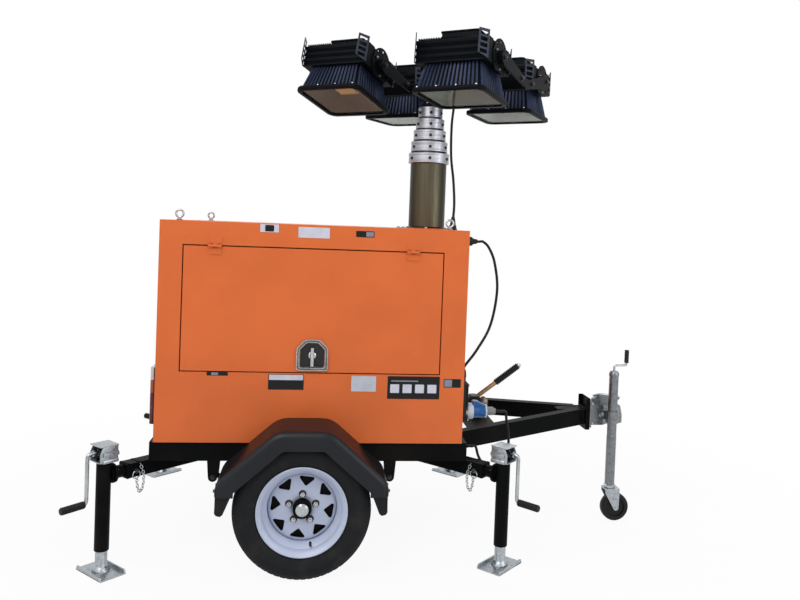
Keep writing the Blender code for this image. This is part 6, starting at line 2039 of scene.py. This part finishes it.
    def build(self) -> None:
        """Dresses the panels and adds every fitting."""
        self.shop.dress(Finish.ORANGE, "side_panel_left", "side_panel_right", "rear_panel", "roof_panel",
                        bevel=0.0022)
        self.shop.dress(Finish.ORANGE, "door_left", "door_right", bevel=0.0016)
        self.shop.dress(Finish.FRONT, "front_panel", bevel=0.0014)
        self.shop.dress(Finish.ENGINE, "floor_plate", "engine_block", bevel=0.0020)
        self.build_labels()
        for name, side in SIDES:
            Latch(self.shop, name, side).build()
        self.build_roof()
        self.build_front()
        self.build_plug()
        self.build_rear()


@dataclass
class Undercarriage(Part):
    """The chassis frame, axle and outrigger arms.

    Fields: the spring plates' places, distance from the middle, half width and height.
    """

    plates: tuple[float, ...] = (-0.380, 0.370)
    plate_y: float = 0.522
    plate_half: float = 0.0276
    plate_z: float = 0.355

    def build(self) -> None:
        """Dresses the steelwork and adds its bolts and plugs."""
        self.shop.dress(Finish.BLACK, "chassis_frame", "axle", "drawbar", bevel=0.0022)
        plugs = Form()
        for name, x, side, heading in JACKS:
            self.shop.dress(Finish.BLACK, f"outrigger_arm_{name}", bevel=0.0035)
            place = at(x, side * JACK_Y, ARM_Z) @ spin(heading)
            plugs.prism(rounded(0.054, 0.054, 0.005, 3), "X", -0.6476, -0.6452, place)
        spots = [((x, side * self.plate_y + way * self.plate_half, self.plate_z), (0.0, way, 0.0))
                 for side in (-1, 1) for x in self.plates for way in (-1, 1)]
        self.add("chassis_bolts", self.shop.bolt_form(spots, 0.0085, 0.0075), Finish.BOLT)
        self.add("arm_end_plugs", plugs, Finish.BLACK_PLASTIC)


@dataclass
class Drawbar(Part):
    """The drawbar's front end: brake lever, coupling and jockey wheel.

    Fields: place of the ball coupling, of the jockey wheel and of the brake lever, and the height
    that the lever stands on.
    """

    ball_x: float = 1.590
    jockey: tuple[float, float] = (1.532, -0.124)
    lever_y: float = -0.050
    lever_foot: float = 0.5113

    def build_lever(self) -> None:
        """Adds the brake lever with its quadrant, grip and button."""
        y, base = self.lever_y, self.lever_foot
        bracket = Form()
        outline = [(0.868, base), (0.900, base), (0.900, base + 0.060),
                   *arc((0.886, base + 0.074), 0.0137, 0, 180, 8), (0.868, base + 0.062)]
        for start in (y - 0.028, y + 0.022):
            bracket.prism(outline, "Y", start, start + 0.006)
        bracket.block((0.868, y - 0.022, base), (0.900, y + 0.022, base + 0.006))
        bracket.block((0.868, y - 0.022, base + 0.006), (0.873, y + 0.022, base + 0.050))
        self.add("lever_bracket", bracket.bevelled(0.0008, 1), Finish.BRONZE, "handbrake", "black_paint")
        case = [(0.802, base), (0.863, base), (0.863, base + 0.076),
                *arc((0.842, base + 0.078), 0.021, 0, 90, 6), (0.816, base + 0.099), (0.802, base + 0.084)]
        self.add("brake_housing", Form().prism(case, "Y", y - 0.034, y + 0.034).bevelled(0.003),
                 Finish.BLACK_PLASTIC)
        start, end = Vector((0.835, y, base + 0.081)), Vector((0.962, y, base + 0.179))
        way = (end - start).normalized()
        self.add("lever_tube", Form().swept([start, end], 0.0109, 24), Finish.BRONZE)
        first, last = Vector((0.940, y, base + 0.162)), Vector((1.061, y, base + 0.255))
        self.add("lever_grip", self.shop.grip_form(first, last - way * 0.010, 0.0172, 15), Finish.GRIP)
        button = mm((0, -12), (12, -12), (12, -2), (7, -1), (6.5, 5), (0, 6))
        self.add("lever_button", Form().turned(button, 24, facing(last, way)), Finish.CHROME)
        places = ((0.886, -0.028, 0.074), (0.886, 0.028, 0.074), (0.880, -0.028, 0.020),
                  (0.830, -0.034, 0.030), (0.830, -0.034, 0.070))
        spots = [((x, y + out, base + z), (0.0, math.copysign(1.0, out), 0.0)) for x, out, z in places]
        self.add("lever_bolts", self.shop.bolt_form(spots, 0.0062, 0.0045), Finish.PLATED)

    def build_coupling(self) -> None:
        """Dresses the coupling and adds its bolts and handle."""
        x = self.ball_x
        self.shop.dress(Finish.CAST_ZINC, "coupling_head", bevel=0.0020)
        route = bent([(x - 0.118, 0, 0.6035), (x - 0.080, 0, 0.6105), (x + 0.010, 0, 0.6000),
                      (x + 0.026, 0, 0.5960)], 0.012)
        self.add("coupling_handle", Form().swept(route, 0.0062, 16), Finish.PLATED)
        spots = [((1.4485, side * 0.0525, z), (1.0, 0.0, 0.0)) for side in (-1, 1) for z in (0.474, 0.570)]
        spots += [((x - 0.088, side * 0.048, 0.512), (0.0, side, 0.0)) for side in (-1, 1)]
        spots.append(((self.jockey[0] - 0.034, self.jockey[1] + 0.040, 0.525), (-1.0, 0.0, 0.0)))
        self.add("coupling_bolts", self.shop.bolt_form(spots, 0.0085, 0.0070), Finish.PLATED)

    def build_jockey(self) -> None:
        """Adds the jockey wheel's stem, handle, fork and roller."""
        x, y = self.jockey
        place, body = at(x, y, 0), "jockey_stem"
        stem = mm((0, 167.5), (23.6, 167.5), (24, 169), (24, 430), (23.2, 431), (23.2, 730), (25, 731),
                  (25, 744), (18, 754.5), (0, 755))
        self.add("jockey_stem_tube", Form().turned(stem, 48, place), Finish.CAST_ZINC, "jockey_tube", "zinc",
                 body)
        crank = bent([(x, y, 0.754), (x, y, 0.784), (x + 0.062, y, 0.785), (x + 0.062, y, 0.801)], 0.010)
        self.add("jockey_crank", Form().swept(crank, 0.0058, 14), Finish.PLATED, body=body)
        self.add("jockey_knob", self.shop.grip_form((x + 0.062, y, 0.798), (x + 0.062, y, 0.862), 0.012, 8),
                 Finish.GRIP, body=body)
        ring = mm((24.1, 168), (27.5, 168), (28, 171), (28, 182), (24.1, 184))
        self.add("jockey_ring", Form().turned(ring, 40, place), Finish.PLATED, body=body)
        self.shop.dress(Finish.ZINC, "jockey_fork", bevel=0.0012)
        half = mm((6.4, 25.4), (13.8, 25.4), (14.2, 15), (45, 13.5), (47, 20.5), (51, 21.8), (61, 21.6),
                  (66.2, 19), (69, 14), (69.8, 6))
        roller = Form().turned(mirrored(half), 64).moved(at(x + 0.028, y, 0.070) @ spin(90, "X"))
        node, slot, body = "jockey_wheel", "jockey_rubber", "jockey_roller"
        self.add("jockey_roller", roller, Finish.BLACK_PLASTIC, node, slot, body)

    def build(self) -> None:
        """Adds everything at the drawbar's front end."""
        self.build_lever()
        self.build_coupling()
        self.build_jockey()


@dataclass
class LampHead(Part):
    """The crossbar with its yoke arms.

    Fields: half of a yoke's width, distance of its foot from the middle, the foot's height and the
    height of the head's flange.
    """

    yoke_half: float = 0.2015
    foot_y: float = 0.075
    foot_z: float = 2.150
    flange_z: float = 2.0573

    def __post_init__(self) -> None:
        """Sets the body and its place."""
        self.body, self.place = "mast_head", HEAD

    def build(self) -> None:
        """Dresses the head and adds its bolts."""
        self.shop.dress(Finish.LAMP, "lamp_frame", bevel=0.0016)
        spots = []
        for along in (-1, 1):
            for across in (-1, 1):
                for way in (-1, 1):
                    x = along * LAMP_OFFSET + way * self.yoke_half
                    spots.append(((x, across * LAMP_OFFSET, LAMP_AXIS_Z), (way, 0.0, 0.0)))
                    spots.append(((x, across * self.foot_y, self.foot_z), (way, 0.0, 0.0)))
        self.add("yoke_bolts", self.shop.bolt_form(spots, 0.0095, 0.0075, 1.4), Finish.BOLT)
        ring = [((x, y, self.flange_z), UP) for x, y in around(0.043, 6, 30)]
        self.add("head_bolts", self.shop.bolt_form(ring, 0.0052, 0.0045), Finish.PLATED)


@dataclass
class Cord(Part):
    """A free cable with the route that the CAD node has.

    Fields: its name, first point and the way it leaves it, the knots between, last point and the
    way it leaves that, its diameter, and how stiff it is and how it lies, which are not used.
    """

    name: str
    start: Point
    start_way: Point
    knots: Sequence[Point]
    end: Point
    end_way: Point
    diameter: float = 0.012
    stiffness: str = "stiff"
    lay: str = "loose"

    def route(self) -> list[Vector]:
        """The cable's centreline, in axle coordinates.

        Returns:
            Its points, evenly spaced.
        """
        first, last = Vector(self.start), Vector(self.end)
        out, back = Vector(self.start_way).normalized(), Vector(self.end_way).normalized()
        straight = [self.diameter * step for step in (0, 2.7, 4)]
        leaving = [first + out * s for s in straight]
        arriving = [last + back * s for s in reversed(straight)]
        dense = curved([*leaving, *self.knots, *arriving], 24)
        lengths = [0.0]
        for a, b in zip(dense, dense[1:]):
            lengths.append(lengths[-1] + (b - a).length)
        count = max(2, round(lengths[-1] / (0.9 * self.diameter)))
        route = [dense[0]]
        for step in range(1, count):
            wanted = lengths[-1] * step / count
            index = next(i for i, length in enumerate(lengths) if length >= wanted)
            share = (wanted - lengths[index - 1]) / (lengths[index] - lengths[index - 1])
            route.append(dense[index - 1].lerp(dense[index], share))
        return [*route, dense[-1]]

    def build(self) -> None:
        route = self.route()
        form = Form().swept(route, self.diameter / 2, 20)
        piece = self.add(f"{self.name}_sheath", form, Finish.CABLE, self.name, "cable_sheath")
        placed = [point + Vector((AXLE_X, 0, 0)) for point in route]
        length = sum((b - a).length for a, b in zip(placed, placed[1:]))
        LOG.info("%s is %.3f m long", self.name, length)


CORDS = (
    ("mast_cable", (0.66946, -0.07046, 2.0847), (0, 0, -1),
     ((0.657, -0.105, 1.940), (0.650, -0.165, 1.790), (0.654, -0.232, 1.670), (0.653, -0.286, 1.560)),
     (0.648, -0.300, 1.4353), (0, 0, 1)),
    ("front_cable", (0.7153, -0.450, 1.388), (1, 0, 0),
     ((0.790, -0.452, 1.362), (0.818, -0.456, 1.295), (0.833, -0.462, 1.170), (0.806, -0.472, 1.015),
      (0.745, -0.488, 0.905)),
     (0.690, -0.500, 0.7853), (0, 0, 1)),
    ("power_lead", (0.8376, -0.500, 0.636), (1, 0, -0.05),
     ((0.892, -0.494, 0.595), (0.906, -0.484, 0.530), (0.910, -0.472, 0.465), (0.895, -0.460, 0.405),
      (0.855, -0.450, 0.372), (0.812, -0.445, 0.376), (0.782, -0.446, 0.415)),
     (0.7178, -0.450, 0.465), (1, 0, -0.05)),
)


@dataclass
class Studio:
    """The camera that matches the photo, the white room and the soft lights.

    Fields: the camera's place in axle coordinates, its turns in radians, lens in millimetres and shifts,
    the white share of the floor near the object, and the sky's light low down and overhead.
    """

    place: Point = (0.018, -3.92, 1.447)
    yaw: float = 0.122
    pitch: float = -0.0213
    roll: float = 0.0381
    lens: float = 35.406
    shift: tuple[float, float] = (-0.015625, -0.071625)
    floor_glow: float = 0.93
    sky_light: tuple[float, float] = (0.34, 0.70)

    def camera(self) -> None:
        """Makes the camera and sets it as the scene's."""
        ahead = Vector((math.sin(self.yaw) * math.cos(self.pitch), math.cos(self.yaw) * math.cos(self.pitch),
                        math.sin(self.pitch)))
        right = ahead.cross(Vector((0, 0, 1))).normalized()
        up = right.cross(ahead)
        turned = math.cos(self.roll) * right + math.sin(self.roll) * up
        upward = -math.sin(self.roll) * right + math.cos(self.roll) * up
        matrix = Matrix((turned, upward, -ahead)).transposed().to_4x4()
        matrix.translation = Vector(self.place) + Vector((AXLE_X, 0, 0))
        data = bpy.data.cameras.new("photo_camera")
        data.lens = self.lens
        data.sensor_width = 36.0
        data.shift_x, data.shift_y = self.shift
        data.clip_start, data.clip_end = 0.05, 100.0
        bpy.context.scene.camera = self.placed("photo_camera", data, matrix)

    def placed(self, name: str, data: bpy.types.ID, matrix: Matrix) -> bpy.types.Object:
        """Puts a camera, a light or a mesh in the scene.

        Args:
            name: Its name.
            data: What it shows.
            matrix: Its place.

        Returns:
            The object.
        """
        item = bpy.data.objects.new(name, data)
        item.matrix_world = matrix
        bpy.context.scene.collection.objects.link(item)
        return item

    def seen(self, tree: Tree) -> Signal:
        """What is seen by the camera, itself, in a gloss or through glass, against what lights a surface.

        Args:
            tree: The tree that it is for.

        Returns:
            1 for the first and 0 for the second.
        """
        rays = tree.node("ShaderNodeLightPath").outputs
        mirrored_or_through = tree.maths("MAXIMUM", rays["Is Glossy Ray"], rays["Is Transmission Ray"])
        return Signal(tree, tree.maths("MAXIMUM", rays["Is Camera Ray"], mirrored_or_through))

    def floor(self) -> None:
        """Makes the pale floor: it keeps the shadow near the object and is plain white further off."""
        data = bpy.data.meshes.new("floor")
        data.from_pydata([(-40, -40, -0.0005), (40, -40, -0.0005), (40, 40, -0.0005), (-40, 40, -0.0005)],
                         [], [(0, 1, 2, 3)])
        graph = Graph("white_floor")
        x, y = graph.axis("X"), graph.axis("Y")
        white = ((x * x + y * y) ** 0.5).ramp(1.4, 3.2, self.floor_glow, 1.0) * self.seen(graph)
        graph.finish({"Base Color": (0.80, 0.80, 0.80), "Roughness": 0.9, "Specular IOR Level": 0.0})
        glow = graph.out("ShaderNodeEmission", {"Color": (1.0, 1.0, 1.0), "Strength": 1.0})
        mixed = graph.out("ShaderNodeMixShader", {0: white, 1: graph.shader.outputs[0], 2: glow})
        graph.tree.links.new(mixed, graph.tree.nodes["Material Output"].inputs["Surface"])
        data.materials.append(graph.material)
        self.placed("floor", data, Matrix.Identity(4))

    def sky(self) -> None:
        """Makes the white world: plain white where it is seen and a soft sky where it lights."""
        world = bpy.data.worlds.new("white_room")
        bpy.context.scene.world = world
        world.use_nodes = True
        tree = Tree(world.node_tree)
        tree.tree.nodes.clear()
        place = tree.node("ShaderNodeTexCoord").outputs["Generated"]
        way = tree.node("ShaderNodeSeparateXYZ", {0: place}).outputs
        height = Signal(tree, way["Z"]).ramp(-0.2, 0.9, *self.sky_light)
        light = tree.out("ShaderNodeBackground", {"Color": (0.93, 0.96, 1.0), "Strength": height})
        plain = tree.out("ShaderNodeBackground", {"Color": (1.0, 1.0, 1.0), "Strength": 1.0})
        mixed = tree.out("ShaderNodeMixShader", {0: self.seen(tree), 1: light, 2: plain})
        tree.tree.links.new(mixed, tree.node("ShaderNodeOutputWorld").inputs["Surface"])

    def lamp(self, name: str, place: Point, aim: Point, size: float, power: float, colour: Colour) -> None:
        """Adds a soft area light.

        Args:
            name: Its name.
            place: Where it stands.
            aim: Where it points.
            size: Its side in metres.
            power: Its power in watts.
            colour: Its colour.
        """
        data = bpy.data.lights.new(name, "AREA")
        data.shape = "SQUARE"
        data.size = size
        data.energy = power
        data.color = colour
        self.placed(name, data, facing(place, Vector(place) - Vector(aim)))

    def build(self) -> None:
        """Makes the camera, the room and the lights."""
        self.camera()
        self.floor()
        self.sky()
        self.lamp("overcast_key", (-2.2, -3.2, 4.6), (0.0, 0.0, 0.9), 3.6, 135.0, (1.0, 0.99, 0.97))
        self.lamp("front_fill", (3.6, -3.0, 2.4), (0.1, 0.0, 1.0), 2.8, 50.0, (0.95, 0.97, 1.0))
        self.lamp("top_back", (0.5, 3.4, 4.4), (0.0, 0.0, 1.2), 3.2, 65.0, (1.0, 1.0, 1.0))
        bpy.context.scene.view_settings.view_transform = "Standard"


def main() -> None:
    """Builds the studio and the looks."""
    logging.basicConfig(level=logging.INFO, format="%(message)s")
    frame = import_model()
    Studio().build()
    shop = Workshop(frame)
    parts = [Cord(shop, *cord) for cord in CORDS]
    parts += [kind(shop) for kind in (GeneratorBox, Undercarriage, Drawbar, Mast, LampHead)]
    parts += [kind(shop, name, side) for name, side in SIDES for kind in (RoadWheel, Mudguard)]
    parts += [CornerJack(shop, *jack) for jack in JACKS]
    parts += [Floodlight(shop, *lamp) for lamp in LAMPS]
    for part in parts:
        part.build()
        LOG.info("%s%s is ready", type(part).__name__, part.ending)


if __name__ == "__main__":
    main()
